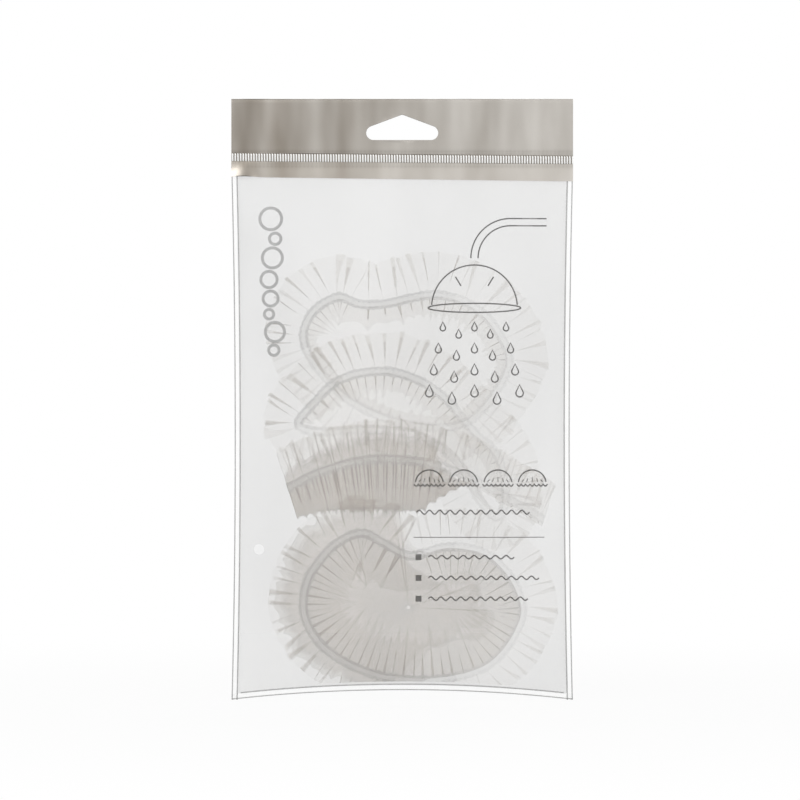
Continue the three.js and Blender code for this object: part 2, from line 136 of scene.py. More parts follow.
class PackColours(bpy.types.PropertyGroup):
    """Colours and see-through of the pack's films"""

    # Both metal tones paint the film's reflection into its colour: darker on the left, brighter on the right
    metal_painted_shade: a_colour("Metal, dark side", "Metallised film on the left of the header", 0.235, 0.21, 0.18)
    metal_painted_sheen: a_colour(
        "Metal, bright side", "Metallised film on the right of the header", 0.54, 0.515, 0.48)
    bag_film: a_colour("Bag film", "Frosted film of the bag", 0.575, 0.575, 0.57)
    bag_haze: a_share("Bag haze", "How much one layer of bag film hides", 0.22)
    cap_film: a_colour("Cap film", "Thin film of the caps", 0.39, 0.29, 0.175)
    cap_haze: a_share("Cap haze", "How much one layer of flat cap film hides", 0.05)
    flank_haze: a_share("Fold flank haze", "How much the sloping flank of a fold hides", 0.12)
    edge_haze: a_share("Fold edge haze", "How much the edge of a fold hides, where film is seen end on", 0.3)
    casing: a_colour("Casing", "Tape over the elastic", 0.40, 0.385, 0.37)
    weld_row: a_colour("Weld rows", "Two crimped rows that hold the casing", 0.2, 0.19, 0.18)
    elastic: a_colour("Elastic", "Elastic inside the casing", 0.50, 0.485, 0.46)
    weld: a_colour("Bag weld", "Clear fused margin of the bag", 0.88, 0.88, 0.87)
    bead: a_colour("Weld bead", "Ridges at the edges of the bag welds", 0.42, 0.42, 0.415)
    ink: a_colour("Ink", "Dark print on the front film", 0.055, 0.053, 0.05)
    pale_ink: a_colour("Pale ink", "Grey print down the left of the front film", 0.36, 0.36, 0.355)


# Shapes of the bag

SEAM_HALF = 0.2 * MM
FILM_WALL = 0.25 * MM
FIT_GAP = 0.3 * MM

# Wavelengths of the soft and the fine wrinkles, and depth of the fine ones against the soft
SOFT_WAVE, FINE_WAVE, FINE_DEPTH = 34 * MM, 11 * MM, 0.35

# Faint folds across the bag: level and tilt of each, their width, and their depth against a wrinkle's
FOLDS = ((-0.1148, 0.004), (-0.1828, -0.003), (-0.2073, 0.002))
FOLD_WIDTH, FOLD_DEPTH = 0.8 * MM, 1.6

# Pulls that run in and up from the lower corners
PULL_REACH, PULL_WIDTH, PULL_DEPTH = 75 * MM, 1.7 * MM, 2.6

# Slack below the header: start across and up and lean of each, and where along it each is deepest
SLACKS = ((0.066, -0.034, 0.75), (0.048, -0.036, 1.1), (-0.05, -0.034, -1.3))
SLACK_WIDTH, SLACK_DEPTH = 2.6 * MM, 2.2
SLACK_MIDDLE, SLACK_REACH = 30 * MM, 35 * MM

# Room that the caps keep from the side welds and the bottom weld
SIDE_ROOM, FLOOR_ROOM = 3.2 * MM, 1.2 * MM


def crumple(seed, wavelength):
    """Smooth random field of x and z, between about -1 and 1"""
    waves = 10
    rng = np.random.default_rng(seed)
    angles = rng.uniform(0, 2 * math.pi, waves)
    phases = rng.uniform(0, 2 * math.pi, waves)
    pitches = 2 * math.pi / (wavelength * rng.uniform(0.6, 1.8, waves))

    def field(x, z):
        total = 0.0
        for angle, phase, pitch in zip(angles, phases, pitches):
            total = total + np.sin(pitch * (x * math.cos(angle) + z * math.sin(angle)) + phase)
        return total / math.sqrt(2 * waves)

    return field


class Bag:
    """Outline and swell of the bag, as its solids have them"""

    def __init__(self, sizes):
        self.sizes = sizes
        self.swell = -PANEL_LOW[1] - SEAM_HALF - FILM_WALL
        self.soft = crumple(3, SOFT_WAVE)
        self.fine = crumple(5, FINE_WAVE)

    def half_width(self, fall):
        return PACK_HALF - self.sizes.side_waist * 4 * fall * (1 - fall)

    def inner_half(self, fall):
        return self.half_width(fall) - self.sizes.weld_width - FIT_GAP

    def bottom(self, side):
        return CORNER_Z + self.sizes.bottom_bow * (1 - np.abs(side) ** 2)

    def floor(self, side):
        return self.bottom(side) + self.sizes.weld_width + FIT_GAP

    def fall(self, z, floor):
        return np.clip((BAG_TOP - z) / (BAG_TOP - floor), 0, 1)

    def pillow(self, x, z):
        """Share of the full swell at a place"""
        floor = self.floor(np.clip(x / PACK_HALF, -1, 1))
        side = np.minimum(1, np.abs(x) / self.inner_half(self.fall(z, floor)))
        shoulder = np.clip((BAG_TOP - z) / self.sizes.shoulder, 0, 1)
        toe = np.clip((z - floor) / self.sizes.toe, 0, 1)
        return np.sqrt(1 - side ** 5) * (1 - (1 - shoulder) ** 2) * (1 - (1 - toe) ** 3)

    def creases(self, x, z):
        """Faint folds across the bag, pulls from its lower corners and slack below the header"""
        total = 0.0
        for level, tilt in FOLDS:
            total = total + FOLD_DEPTH * np.exp(-((z - level - tilt * x) / FOLD_WIDTH) ** 2)
        for side in (-1, 1):
            inward, upward = PACK_HALF - side * x, z - CORNER_Z
            reach = np.clip(1 - (inward + upward) / PULL_REACH, 0, 1)
            total = total + PULL_DEPTH * reach * np.exp(-((upward - inward) / PULL_WIDTH) ** 2)
        for start_x, start_z, lean in SLACKS:
            below = start_z - z
            away = x - start_x + lean * below
            reach = np.clip(1 - np.abs(below - SLACK_MIDDLE) / SLACK_REACH, 0, 1)
            total = total + SLACK_DEPTH * np.exp(-(away / SLACK_WIDTH) ** 2) * reach
        return total

    def film(self, x, z):
        """Depth of a bag film from the seam, wrinkles included"""
        share = self.pillow(x, z)
        wrinkle = self.soft(x, z) + FINE_DEPTH * self.fine(x, z) + self.creases(x, z)
        base = SEAM_HALF + FILM_WALL / 2 + self.swell * share
        return base + self.sizes.wrinkle * wrinkle * share

    def keep_inside(self, x, z):
        """Place moved back to a little inside the welds"""
        floor = self.floor(np.clip(x / PACK_HALF, -1, 1))
        limit = self.inner_half(self.fall(z, floor)) - SIDE_ROOM
        return np.clip(x, -limit, limit), np.maximum(z, floor + FLOOR_ROOM)


# Meshes

TUBE_SIDES = 8


def add_object(name, points, faces, materials):
    mesh = bpy.data.meshes.new(name)
    mesh.from_pydata([tuple(map(float, p)) for p in points], [], faces)
    mesh.validate()
    mesh.polygons.foreach_set("use_smooth", [True] * len(mesh.polygons))
    for finish in materials:
        mesh.materials.append(finish)
    piece = bpy.data.objects.new(name, mesh)
    bpy.context.scene.collection.objects.link(piece)
    return piece


def grid_faces(rows, columns, round_columns=False):
    """Quads of a grid of points laid row by row, closed round where asked"""
    last = columns if round_columns else columns - 1
    faces = []
    for i in range(rows - 1):
        for j in range(last):
            a, b = i * columns + j, i * columns + (j + 1) % columns
            faces.append((a, b, b + columns, a + columns))
    return faces


def unit(vectors):
    """Vectors made one long"""
    return vectors / np.linalg.norm(vectors, axis=1)[:, None]


def tube_points(path, radius):
    """Rings round a path of points"""
    along = unit(np.gradient(path, axis=0))
    out = unit(np.cross(along, (0, 1, 0)))
    lift = np.cross(out, along)
    angles = (np.arange(TUBE_SIDES) / TUBE_SIDES * 2 * math.pi)[None, :, None]
    ring = np.cos(angles) * out[:, None, :] + np.sin(angles) * lift[:, None, :]
    return (path[:, None, :] + radius * ring).reshape(-1, 3)


class Batch:
    """Points and faces gathered from several shapes into one piece"""

    def __init__(self):
        self.points = []
        self.faces = []
        self.kinds = []

    def add(self, points, faces, kind=0):
        start = len(self.points)
        self.points.extend(points)
        self.faces.extend(tuple(start + i for i in face) for face in faces)
        self.kinds.extend([kind] * len(faces) if np.isscalar(kind) else map(int, kind))

    def tube(self, path, radius, kind):
        """Round bar along a path, closed at both ends"""
        rings = len(path)
        faces = grid_faces(rings, TUBE_SIDES, True)
        faces.append(tuple(range(TUBE_SIDES))[::-1])
        faces.append(tuple((rings - 1) * TUBE_SIDES + i for i in range(TUBE_SIDES)))
        self.add(tube_points(path, radius), faces, kind)

    def build(self, name, materials):
        piece = add_object(name, self.points, self.faces, materials)
        piece.data.polygons.foreach_set("material_index", self.kinds)
        return piece


# Materials

FILM_IOR = 1.5
GLOSS_SPREAD = 0.06
STREAK_HEIGHT = 0.02 * MM
GRAIN_HEIGHT = 0.006 * MM

# Metallised film, its reflection painted in: how far streaks of painted reflection sway its tone, its painted
# level at the left and at the right, and the knurl's tint
METAL_SHEEN_STREAK = 1.35
METAL_SHEEN_LEVELS = (-0.54, 0.13)
KNURL_TONE = (0.32, 0.31, 0.29)


def material(name):
    made = bpy.data.materials.new(name)
    made.use_nodes = True
    tree = made.node_tree
    return made, tree, tree.nodes["Principled BSDF"]


def give(tree, made, **values):
    """Sets or links a node's inputs, or sets its settings"""
    for name, value in values.items():
        label = name.replace("_", " ").title().replace("Ior", "IOR")
        if label not in made.inputs:
            setattr(made, name, value)
        elif isinstance(value, bpy.types.NodeSocket):
            tree.links.new(value, made.inputs[label])
        else:
            made.inputs[label].default_value = value
    return made


def node(tree, kind, **values):
    return give(tree, tree.nodes.new(kind), **values)


def stretched_noise(tree, stretch, scale, detail=3.0):
    """Noise over the piece's own places, stretched along an axis"""
    place = node(tree, "ShaderNodeTexCoord")
    mapping = node(tree, "ShaderNodeMapping", vector=place.outputs["Object"], scale=stretch)
    texture = node(tree, "ShaderNodeTexNoise", vector=mapping.outputs["Vector"], scale=scale, detail=detail)
    return texture.outputs["Fac"]


def two_tone(tree, factor, low, high, start=0.3, end=0.7):
    """Colour between two tones by a factor"""
    ramp = node(tree, "ShaderNodeValToRGB", fac=factor)
    ramp.color_ramp.elements[0].position = start
    ramp.color_ramp.elements[0].color = (*low, 1)
    ramp.color_ramp.elements[1].position = end
    ramp.color_ramp.elements[1].color = (*high, 1)
    return ramp.outputs["Color"]


def spread(tree, value, low, high, start=0.0, end=1.0, interpolation_type="LINEAR"):
    """Value mapped from the range of start to end on to that of low to high"""
    ranged = node(tree, "ShaderNodeMapRange", interpolation_type=interpolation_type, value=value,
                  from_min=start, from_max=end, to_min=low, to_max=high)
    return ranged.outputs["Result"]


def maths(tree, operation, *values, **settings):
    """Outcome of a sum on links and plain numbers"""
    made = node(tree, "ShaderNodeMath", operation=operation, **settings)
    for socket, value in zip(made.inputs, values):
        if isinstance(value, bpy.types.NodeSocket):
            tree.links.new(value, socket)
        else:
            socket.default_value = value
    return made.outputs["Value"]


def bump(tree, height, shader, distance):
    made = node(tree, "ShaderNodeBump", strength=1.0, distance=distance, height=height)
    give(tree, shader, normal=made.outputs["Normal"])


def shade(colour, factor):
    return tuple(min(1.0, c * factor) for c in colour)


def film_material(name, colour, haze, roughness, scale, contrast):
    """See-through film: uneven haze, faint drawn streaks and a soft gloss"""
    made, tree, shader = material(name)
    cloud = stretched_noise(tree, (1, 1, 0.5), scale)
    streak = stretched_noise(tree, (1, 1, 0.12), scale * 9)
    tone = two_tone(tree, cloud, shade(colour, 1 - contrast), shade(colour, 1 + contrast))
    gloss = spread(tree, streak, roughness - GLOSS_SPREAD, roughness + GLOSS_SPREAD)
    give(tree, shader, base_color=tone, roughness=gloss, alpha=haze, ior=FILM_IOR)
    bump(tree, streak, shader, STREAK_HEIGHT)
    return made


def trim_material(name, colour, haze, roughness):
    """Film trim with a fine mottle"""
    return film_material(name, colour, haze, roughness, 180.0, 0.1)


def cap_material(name, colour, haze, roughness):
    """Film of a cap, in broader clouds than a trim's"""
    return film_material(name, colour, haze, roughness, 60.0, 0.1)


def metal_material(name, dark, bright, knurl_top, knurl_bottom):
    """Metallised film with painted reflection: brighter to the right and soft upright streaks of painted
    sheen, with knurling beside the seal
    """
    made, tree, shader = material(name)
    place = node(tree, "ShaderNodeTexCoord")
    axes = node(tree, "ShaderNodeSeparateXYZ", vector=place.outputs["Object"])
    across, up = axes.outputs["X"], axes.outputs["Z"]
    streak = stretched_noise(tree, (1, 1, 0.22), 62.0, 2.0)
    # Painted reflection: the tone runs from the dark end on the left to the bright end on the right, swayed
    # by upright streaks
    level = spread(tree, across, *METAL_SHEEN_LEVELS, -PACK_HALF, PACK_HALF)
    tone = two_tone(tree, maths(tree, "MULTIPLY_ADD", streak, METAL_SHEEN_STREAK, level), dark, bright, 0.05, 0.92)
    knurl = knurl_factor(tree, across, up, knurl_top, knurl_bottom)
    stamped = node(tree, "ShaderNodeMix", data_type="RGBA", blend_type="MULTIPLY", factor=knurl, a=tone,
                   b=(*KNURL_TONE, 1))
    grain = stretched_noise(tree, (1, 1, 0.3), 900.0)
    gloss = spread(tree, grain, 0.3, 0.42)
    give(tree, shader, base_color=stamped.outputs["Result"], metallic=0.9, roughness=gloss)
    bump(tree, grain, shader, GRAIN_HEIGHT)
    return made


def knurl_factor(tree, across, up, top, bottom):
    """Fine diagonal dots in the heights just above and below the seal"""
    waves = []
    for lean in (1.0, -1.0):
        slant = maths(tree, "MULTIPLY_ADD", up, lean, across)
        waves.append(maths(tree, "SINE", maths(tree, "MULTIPLY", slant, 2 * math.pi / RIB_PITCH)))
    dots = maths(tree, "MULTIPLY", *waves)
    middle = (bottom + top) / 2
    rise, fade = (spread(tree, up, 0.0, 1.0, edge, middle, "SMOOTHSTEP") for edge in (bottom, top))
    return maths(tree, "MULTIPLY", dots, maths(tree, "MULTIPLY", rise, fade), use_clamp=True)


def seal_material(name, valley, crest):
    """Crimped seal: a painted white highlight on the crest of each rib, darker metal between as painted shade
    """
    made, tree, shader = material(name)
    height = node(tree, "ShaderNodeAttribute", attribute_name="crest").outputs["Fac"]
    grain = stretched_noise(tree, (1, 1, 1), 700.0)
    give(tree, shader, base_color=two_tone(tree, height, valley, crest, 0.25, 0.62),
         metallic=spread(tree, height, 0.85, 0.1), roughness=spread(tree, grain, 0.34, 0.5))
    return made


# Header

STRIP_RADIUS = 0.875 * MM
STRIP_WALL = 0.14 * MM
STRIP_DRIFT = 0.14 * MM
STRIP_COLUMNS, FRONT_ROWS, FOLD_ROWS, BACK_ROWS = 86, 20, 8, 28
SLOT_WIDTH = 32.0 * MM
SLOT_HEIGHT = 11.3 * MM
SLOT_END_RADIUS = 3.2 * MM
SLOT_PEAK_RADIUS = 1.4 * MM
SLOT_CLEAR = 0.7 * MM
MERGE_LIMIT = 1e-7
SPLIT_ANGLE = math.radians(40)

# Seal: ribs, their rise from a seat in front of the strip, steps to a rib, and the painted white highlight on
# their crests
RIB_PITCH = 1.18 * MM
RIB_HEIGHT = 0.32 * MM
RIB_SEAT = 0.1 * MM - STRIP_RADIUS
RIB_STEPS = 8
RIB_PAINTED_HIGHLIGHT = (0.86, 0.86, 0.85)

# Seal and lip run down a little to the right, and the strip follows them near its two edges
SEAL_SLANT = 0.65 * MM
LIP_SLANT = 1.0 * MM
SLANT_REACH = 6.0 * MM
HEM_LIFT = 0.4 * MM

# Lip: grid, wall, flare, and the curl of its left corner
LIP_COLUMNS, LIP_ROWS = 140, 14
LIP_WALL = 0.12 * MM
LIP_FLARE = 0.12 * MM
CURL_PLACE = 5.6 * MM
CURL_WIDTH = 4.6 * MM
CURL_DEPTH = 2.0 * MM
CURL_RISE = 0.6 * MM

# Knurling runs this far from the seal's edges: over the strip, over the lip, and inwards under the seal
STRIP_KNURL, LIP_KNURL, SEAL_KNURL = 3.2 * MM, 3.6 * MM, 1.5 * MM


def arc(x, z, radius, start, end, steps):
    return [(x + radius * math.cos(start + (end - start) * i / steps),
             z + radius * math.sin(start + (end - start) * i / steps)) for i in range(steps + 1)]


def slot_outline():
    """Flat-bottomed delta with round ends, its peak at the origin"""
    end_x = SLOT_WIDTH / 2 - SLOT_END_RADIUS
    end_z = SLOT_END_RADIUS - SLOT_HEIGHT
    peak_z = -SLOT_PEAK_RADIUS
    run = math.hypot(end_x, peak_z - end_z)
    slope = math.atan2(peak_z - end_z, end_x)
    normal = slope + math.acos((SLOT_END_RADIUS - SLOT_PEAK_RADIUS) / run)
    return (arc(end_x, end_z, SLOT_END_RADIUS, -math.pi / 2, math.pi - normal, 18)
            + arc(0, peak_z, SLOT_PEAK_RADIUS, math.pi - normal, normal, 8)
            + arc(-end_x, end_z, SLOT_END_RADIUS, normal, math.pi * 1.5, 18))


def inside_outline(point, outline):
    x, z = point
    inside = False
    for (ax, az), (bx, bz) in zip(outline, outline[1:] + outline[:1]):
        if (az > z) != (bz > z) and x < ax + (z - az) / (bz - az) * (bx - ax):
            inside = not inside
    return inside


def in_holes(place, holes):
    return any(inside_outline(place, hole) for hole in holes)


def strip_sheet(front, turn, back, holes):
    """Flat sheet of the strip, from its front edge over the fold to its back edge, less its holes"""
    heights = [front * i / FRONT_ROWS for i in range(FRONT_ROWS)]
    heights += [front + turn * i / FOLD_ROWS for i in range(FOLD_ROWS)]
    heights += [front + turn + back * i / BACK_ROWS for i in range(BACK_ROWS + 1)]
    flat, edges = [], []
    for v in heights:
        for i in range(STRIP_COLUMNS + 1):
            place = (-PACK_HALF + 2 * PACK_HALF * i / STRIP_COLUMNS, v)
            near = any(math.dist(place, p) < SLOT_CLEAR for hole in holes for p in hole)
            if not near and not in_holes(place, holes):
                flat.append(place)
    for hole in holes:
        start, count = len(flat), len(hole)
        flat.extend(hole)
        edges.extend((start + i, start + (i + 1) % count) for i in range(count))
    made = delaunay_2d_cdt([Vector(p) for p in flat], edges, [], 0, MERGE_LIMIT)
    middles = [np.mean([made[0][i] for i in face], axis=0) for face in made[2]]
    faces = [tuple(face) for face, middle in zip(made[2], middles) if not in_holes(middle, holes)]
    return made[0], faces


def header_strip(colours):
    """One strip folded over the top of the bag, with the slot through both plies"""
    fold_z = STRIP_HIGH[2] - STRIP_RADIUS - FILM_WALL / 2
    front = fold_z - SEAL_HIGH[2] - FIT_GAP
    turn = math.pi * STRIP_RADIUS
    back = fold_z - STRIP_LOW[2]
    slot = slot_outline()
    holes = [[(x, z - SEAL_HIGH[2] - FIT_GAP) for x, z in slot],
             [(x, front + turn + fold_z - z) for x, z in slot]]
    flat, faces = strip_sheet(front, turn, back, holes)
    streak = crumple(21, 26 * MM)
    points = []
    for x, v in flat:
        lean = x / PACK_HALF
        left = front + turn + back - v
        if v < front:
            y, z = -STRIP_RADIUS, fold_z - front + v - SEAL_SLANT * lean * max(0, 1 - v / SLANT_REACH)
        elif v < front + turn:
            angle = math.pi - (v - front) / STRIP_RADIUS
            y, z = STRIP_RADIUS * math.cos(angle), fold_z + STRIP_RADIUS * math.sin(angle)
        else:
            hem = (HEM_LIFT - LIP_SLANT * lean) * max(0, 1 - left / SLANT_REACH)
            y, z = STRIP_RADIUS, STRIP_LOW[2] + left + hem
        drift = STRIP_DRIFT * streak(x, 0.25 * z) * math.copysign(1, y)
        points.append((x, y + drift, z))
    metal = metal_material("metallised_strip", colours.metal_painted_shade, colours.metal_painted_sheen,
                           SEAL_HIGH[2] + STRIP_KNURL, SEAL_HIGH[2] - SEAL_KNURL)
    piece = add_object("header_fold", points, faces, [metal])
    thicken(piece, STRIP_WALL)
    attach(piece, "header")
    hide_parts("header_strip")


def thicken(piece, wall):
    """Gives a sheet its wall, half to each side"""
    solid = piece.modifiers.new("wall", "SOLIDIFY")
    solid.thickness = wall
    solid.offset = 0.0
    rim = piece.modifiers.new("crisp_rim", "EDGE_SPLIT")
    rim.split_angle = SPLIT_ANGLE


def ribbed_seal(colours):
    """Crimped band across the header: a row of upright ribs"""
    ribs = int(2 * PACK_HALF / RIB_PITCH)
    columns = ribs * RIB_STEPS + 1
    xs = np.linspace(-PACK_HALF, PACK_HALF, columns)
    crest = 0.5 - 0.5 * np.cos(2 * math.pi * (xs + PACK_HALF) / RIB_PITCH)
    slant = -SEAL_SLANT * xs / PACK_HALF
    top, bottom = SEAL_HIGH[2], SEAL_LOW[2]
    levels = [(top + 0.9 * FIT_GAP, 0), (top - 0.25 * MM, 0.9), (top - 0.6 * MM, 1), (bottom + 0.6 * MM, 1),
              (bottom + 0.25 * MM, 0.9), (bottom - 0.1 * MM, 0)]
    points, heights = [], []
    for z, share in levels:
        for x, height, drop in zip(xs, crest, slant):
            points.append((x, RIB_SEAT - RIB_HEIGHT * height * share, z + drop))
            heights.append(height * share)
    # Valleys take a darker copy of the metal as painted shade, crests the painted white highlight
    finish = seal_material("crimped_seal", shade(colours.metal_painted_shade, 0.75), RIB_PAINTED_HIGHLIGHT)
    piece = add_object("crimped_seal", points, grid_faces(len(levels), columns), [finish])
    marks = piece.data.attributes.new("crest", "FLOAT", "POINT")
    marks.data.foreach_set("value", heights)
    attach(piece, "header")
    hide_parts("ribbed_seal")


def header_lip(colours):
    """Free edge of the strip below the seal, buckled forward near its left corner"""
    wave = crumple(33, 30 * MM)
    points = []
    for i in range(LIP_ROWS):
        down = i / (LIP_ROWS - 1)
        for j in range(LIP_COLUMNS):
            x = -PACK_HALF + 2 * PACK_HALF * j / (LIP_COLUMNS - 1)
            lean = x / PACK_HALF
            top = SEAL_LOW[2] - SEAL_SLANT * lean
            bottom = LIP_FOOT - LIP_SLANT * lean
            curl = math.exp(-((x + PACK_HALF - CURL_PLACE) / CURL_WIDTH) ** 2) * down ** 1.5
            y = -STRIP_RADIUS - LIP_FLARE * down * (1 + wave(x, 0.0)) - CURL_DEPTH * curl
            z = top + (bottom - top) * down + CURL_RISE * curl
            points.append((x, y, z))
    # The lip takes lighter copies of the strip's metal tones: painted light on the lip
    dark, bright = shade(colours.metal_painted_shade, 1.32), shade(colours.metal_painted_sheen, 1.12)
    metal = metal_material("metallised_lip", dark, bright, SEAL_LOW[2] + SEAL_KNURL, SEAL_LOW[2] - LIP_KNURL)
    piece = add_object("header_edge", points, grid_faces(LIP_ROWS, LIP_COLUMNS), [metal])
    thicken(piece, LIP_WALL)
    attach(piece, "lip")
    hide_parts("header_lip")


# Bag

NECK_TOP = SEAL_LOW[2] + 0.8 * MM
VENT_PLACE = np.array((-PACK_HALF + 12.4 * MM, CORNER_Z + 67.0 * MM))

# Grid of a bag film, and how far its columns crowd towards the sides
FILM_COLUMNS, FILM_ROWS, SIDE_CROWDING = 116, 190, 0.92

# Welds: rows down a side, columns along the bottom and steps across
SIDE_ROWS, BOTTOM_COLUMNS, WELD_STEPS = 130, 120, 4

# Ridges along the edges of a weld: radius, inset from the edge, and columns left out at the bottom's ends
OUTER_RIDGE, INNER_RIDGE = 0.26 * MM, 0.3 * MM
OUTER_INSET, INNER_INSET, RIDGE_TRIM = 0.3 * MM, 0.2 * MM, 3

# Sway of a weld out of the seam: depth and pitch, and the height over which a side's starts
SIDE_SWAY, SIDE_PITCH, SWAY_START = 0.25 * MM, 0.021, 0.03
BOTTOM_SWAY, BOTTOM_PITCH = 0.3 * MM, 0.017

# How much welds and their ridges hide
WELD_HAZE, RIDGE_HAZE = 0.12, 0.55


def bag_film(bag, facing, name, nodes, tone):
    """Film of the bag on one side of the seam: front for -1, back for 1"""
    points = []
    for i in range(FILM_ROWS):
        for j in range(FILM_COLUMNS):
            turn = (j / (FILM_COLUMNS - 1) - 0.5) * math.pi * SIDE_CROWDING
            side = math.sin(turn) / math.sin(SIDE_CROWDING / 2 * math.pi)
            floor = bag.floor(side)
            z = NECK_TOP + (floor - NECK_TOP) * i / (FILM_ROWS - 1)
            x = side * bag.inner_half(bag.fall(z, floor))
            points.append((x, facing * float(bag.film(x, z)), z))
    faces = grid_faces(FILM_ROWS, FILM_COLUMNS)
    if facing < 0:
        points, faces = punch_vent(bag, points, faces)
    piece = add_object(name, points, faces, [tone])
    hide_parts(*nodes)
    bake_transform(piece)


def punch_vent(bag, points, faces):
    """Film with the round air hole taken out, its rim drawn on to the circle"""
    radius = bag.sizes.vent_diameter / 2
    flat = np.array(points)[:, [0, 2]]
    away = np.linalg.norm(flat - VENT_PLACE, axis=1)
    kept = [face for face in faces if np.mean(away[list(face)]) > radius]
    used = set(i for face in kept for i in face)
    removed = set(i for face in faces for i in face if np.mean(away[list(face)]) <= radius)
    for i in used & removed:
        x, z = VENT_PLACE + (flat[i] - VENT_PLACE) / away[i] * radius
        points[i] = (x, -float(bag.film(x, z)), z)
    order = {old: new for new, old in enumerate(sorted(used))}
    return [points[i] for i in sorted(used)], [tuple(order[i] for i in face) for face in kept]


def weld_strip(first, second):
    """Batch that starts with the strip from one edge of a weld to the other"""
    shares = (np.arange(WELD_STEPS + 1) / WELD_STEPS)[None, :, None]
    points = first[:, None, :] + (second - first)[:, None, :] * shares
    batch = Batch()
    batch.add(points.reshape(-1, 3), grid_faces(len(first), WELD_STEPS + 1))
    return batch


def side_weld(bag, facing, name, node_name, finish):
    """Fused margin down one side, with a ridge along each edge"""
    zs = np.linspace(NECK_TOP, CORNER_Z, SIDE_ROWS)
    outer = facing * bag.half_width(bag.fall(zs, CORNER_Z))
    inner = outer - facing * (bag.sizes.weld_width + FIT_GAP)
    sway = SIDE_SWAY * np.sin(zs / SIDE_PITCH + facing) * np.clip((BAG_TOP - zs) / SWAY_START, 0, 1)
    batch = weld_strip(np.column_stack([inner, sway, zs]), np.column_stack([outer, sway, zs]))
    batch.tube(np.column_stack([outer - facing * OUTER_INSET, sway, zs]), OUTER_RIDGE, 1)
    batch.tube(np.column_stack([inner + facing * INNER_INSET, sway, zs]), INNER_RIDGE, 1)
    piece = batch.build(name, finish)
    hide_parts(node_name)
    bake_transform(piece)


def bottom_weld(bag, finish):
    """Fused margin along the bottom, with a ridge along each edge"""
    sides = np.linspace(-1, 1, BOTTOM_COLUMNS)
    xs = sides * (PACK_HALF - OUTER_INSET)
    sway = BOTTOM_SWAY * np.sin(xs / BOTTOM_PITCH) * (1 - sides ** 2)
    low = np.column_stack([xs, sway, bag.bottom(sides) + OUTER_INSET])
    high = np.column_stack([xs, sway, bag.floor(sides)])
    batch = weld_strip(low, high)
    batch.tube(low, OUTER_RIDGE, 1)
    batch.tube(high[RIDGE_TRIM:-RIDGE_TRIM], INNER_RIDGE, 1)
    piece = batch.build("bottom_margin", finish)
    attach(piece, "bag")
    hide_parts("bottom_weld")


# Caps

# Mouth: steps between two places of its lay, steps round its loop, and steps to either side for its slope
LAY_STEPS, LOOP_STEPS, SLOPE_STEPS = 40, 2400, 24

# Room inside a mouth: steps from one measure to the next, neighbours that even it out, and its limit
ROOM_STEP, ROOM_SPAN, WIDEST_ROOM = 10, range(-4, 5), 30 * MM

# Depths in a cap's layer: film under the casing, frill, gathers with their rise, sway of all film, and least
FILM_DEPTH, FRILL_DEPTH = 1.9 * MM, 1.2 * MM
GATHER_DEPTH, GATHER_RISE = 1.7 * MM, 0.6 * MM
FILM_SWAY, LEAST_DEPTH = 0.12 * MM, 0.05 * MM

# A folded cap: its depth against an open one's, middle of its two runs and how far each lies from there in
# millimetres, how sharply one turns into the other, and how far its way out of the mouth is drawn upright
FOLDED_DEPTH, RUN_MIDDLE, RUN_GAP, RUN_TURN, UPRIGHT = 0.45, 0.68, 0.56, 8, 0.35

# One pleat from side to side, and what each stretch shows: film, the flank of its fold, the edge of its fold;
# flank and edge carry painted shade
PLEAT_PARTS = (0.0, 0.13, 0.26, 0.36, 0.43, 0.5, 0.57, 0.64, 0.76, 0.88)
PLEAT_FOLDS = (0, 0, 1, 1, 2, 2, 1, 1, 0, 0)

# How strongly casing and elastic show, step by step, and where each step starts:
# right of a place across the pack, or where a covered mouth faces down by more than a share
FADES = (1.0, 0.65, 0.35, 0.22, 0.15)
FADE_STARTS = ((10 * MM, 0.35), (24 * MM, 0.6))

# Pleats of a covered cap show fainter where its mouth faces down by more than a share
COVERED_FROM = 0.35

# Rows of frill and gathers; and rows of a crown as shares of a way: out behind the frill, back to the middle,
# the last way there, and from fold to fold in a folded cap
FRILL_ROWS, GATHER_ROWS = np.linspace(1, 0, 13), np.linspace(0, 1, 9)
CROWN_OUT, CROWN_BACK = np.linspace(0.1, 1, 7), np.linspace(0.05, 1, 9)
CROWN_LAST, CROWN_FOLD = np.linspace(0.02, 0.95, 14), np.linspace(0.1, 1, 6)

# Reach of the film's rows under the casing, and the least reach of gathers
CASING_REACH, LEAST_GATHER = 0.9 * MM, 2.4 * MM

# Slack crown, in millimetres: depth of its first fold and of the stack of folds, and how far out behind the
# frill the later ones reach; the first fold stays inside the mouth
CROWN_DEPTH, CROWN_STACK, CROWN_REACH = 1.75, 0.5, (8, 13)
FIRST_FOLD = -0.6 * MM

# Crown of a folded cap: depth of its first fold and step to the next in millimetres, height of its first fold
# and how much lower the second is, both against the gathers, height of the others, and foot of all
TUCK_DEPTH, TUCK_STACK, TUCK_HIGH, TUCK_DROP = 2.0, 0.1, 0.5, 0.1
TUCK_LAST, TUCK_FOOT = -2 * MM, 0.3 * MM

# How far the crown of a folded cap hangs against its usual gathers, at places across the pack
HANG_PLACES = np.array((-50, -36, -20, -4, 10, 30)) * MM
HANG_SHARES = (0.95, 1.2, 1.5, 1.55, 1.5, 0.2)

# Where doubled film stops short on the right, in a folded and in an open cap
SINGLE_FOLDED = np.array((12, 34)) * MM
SINGLE_OPEN = np.array((-9, 12)) * MM

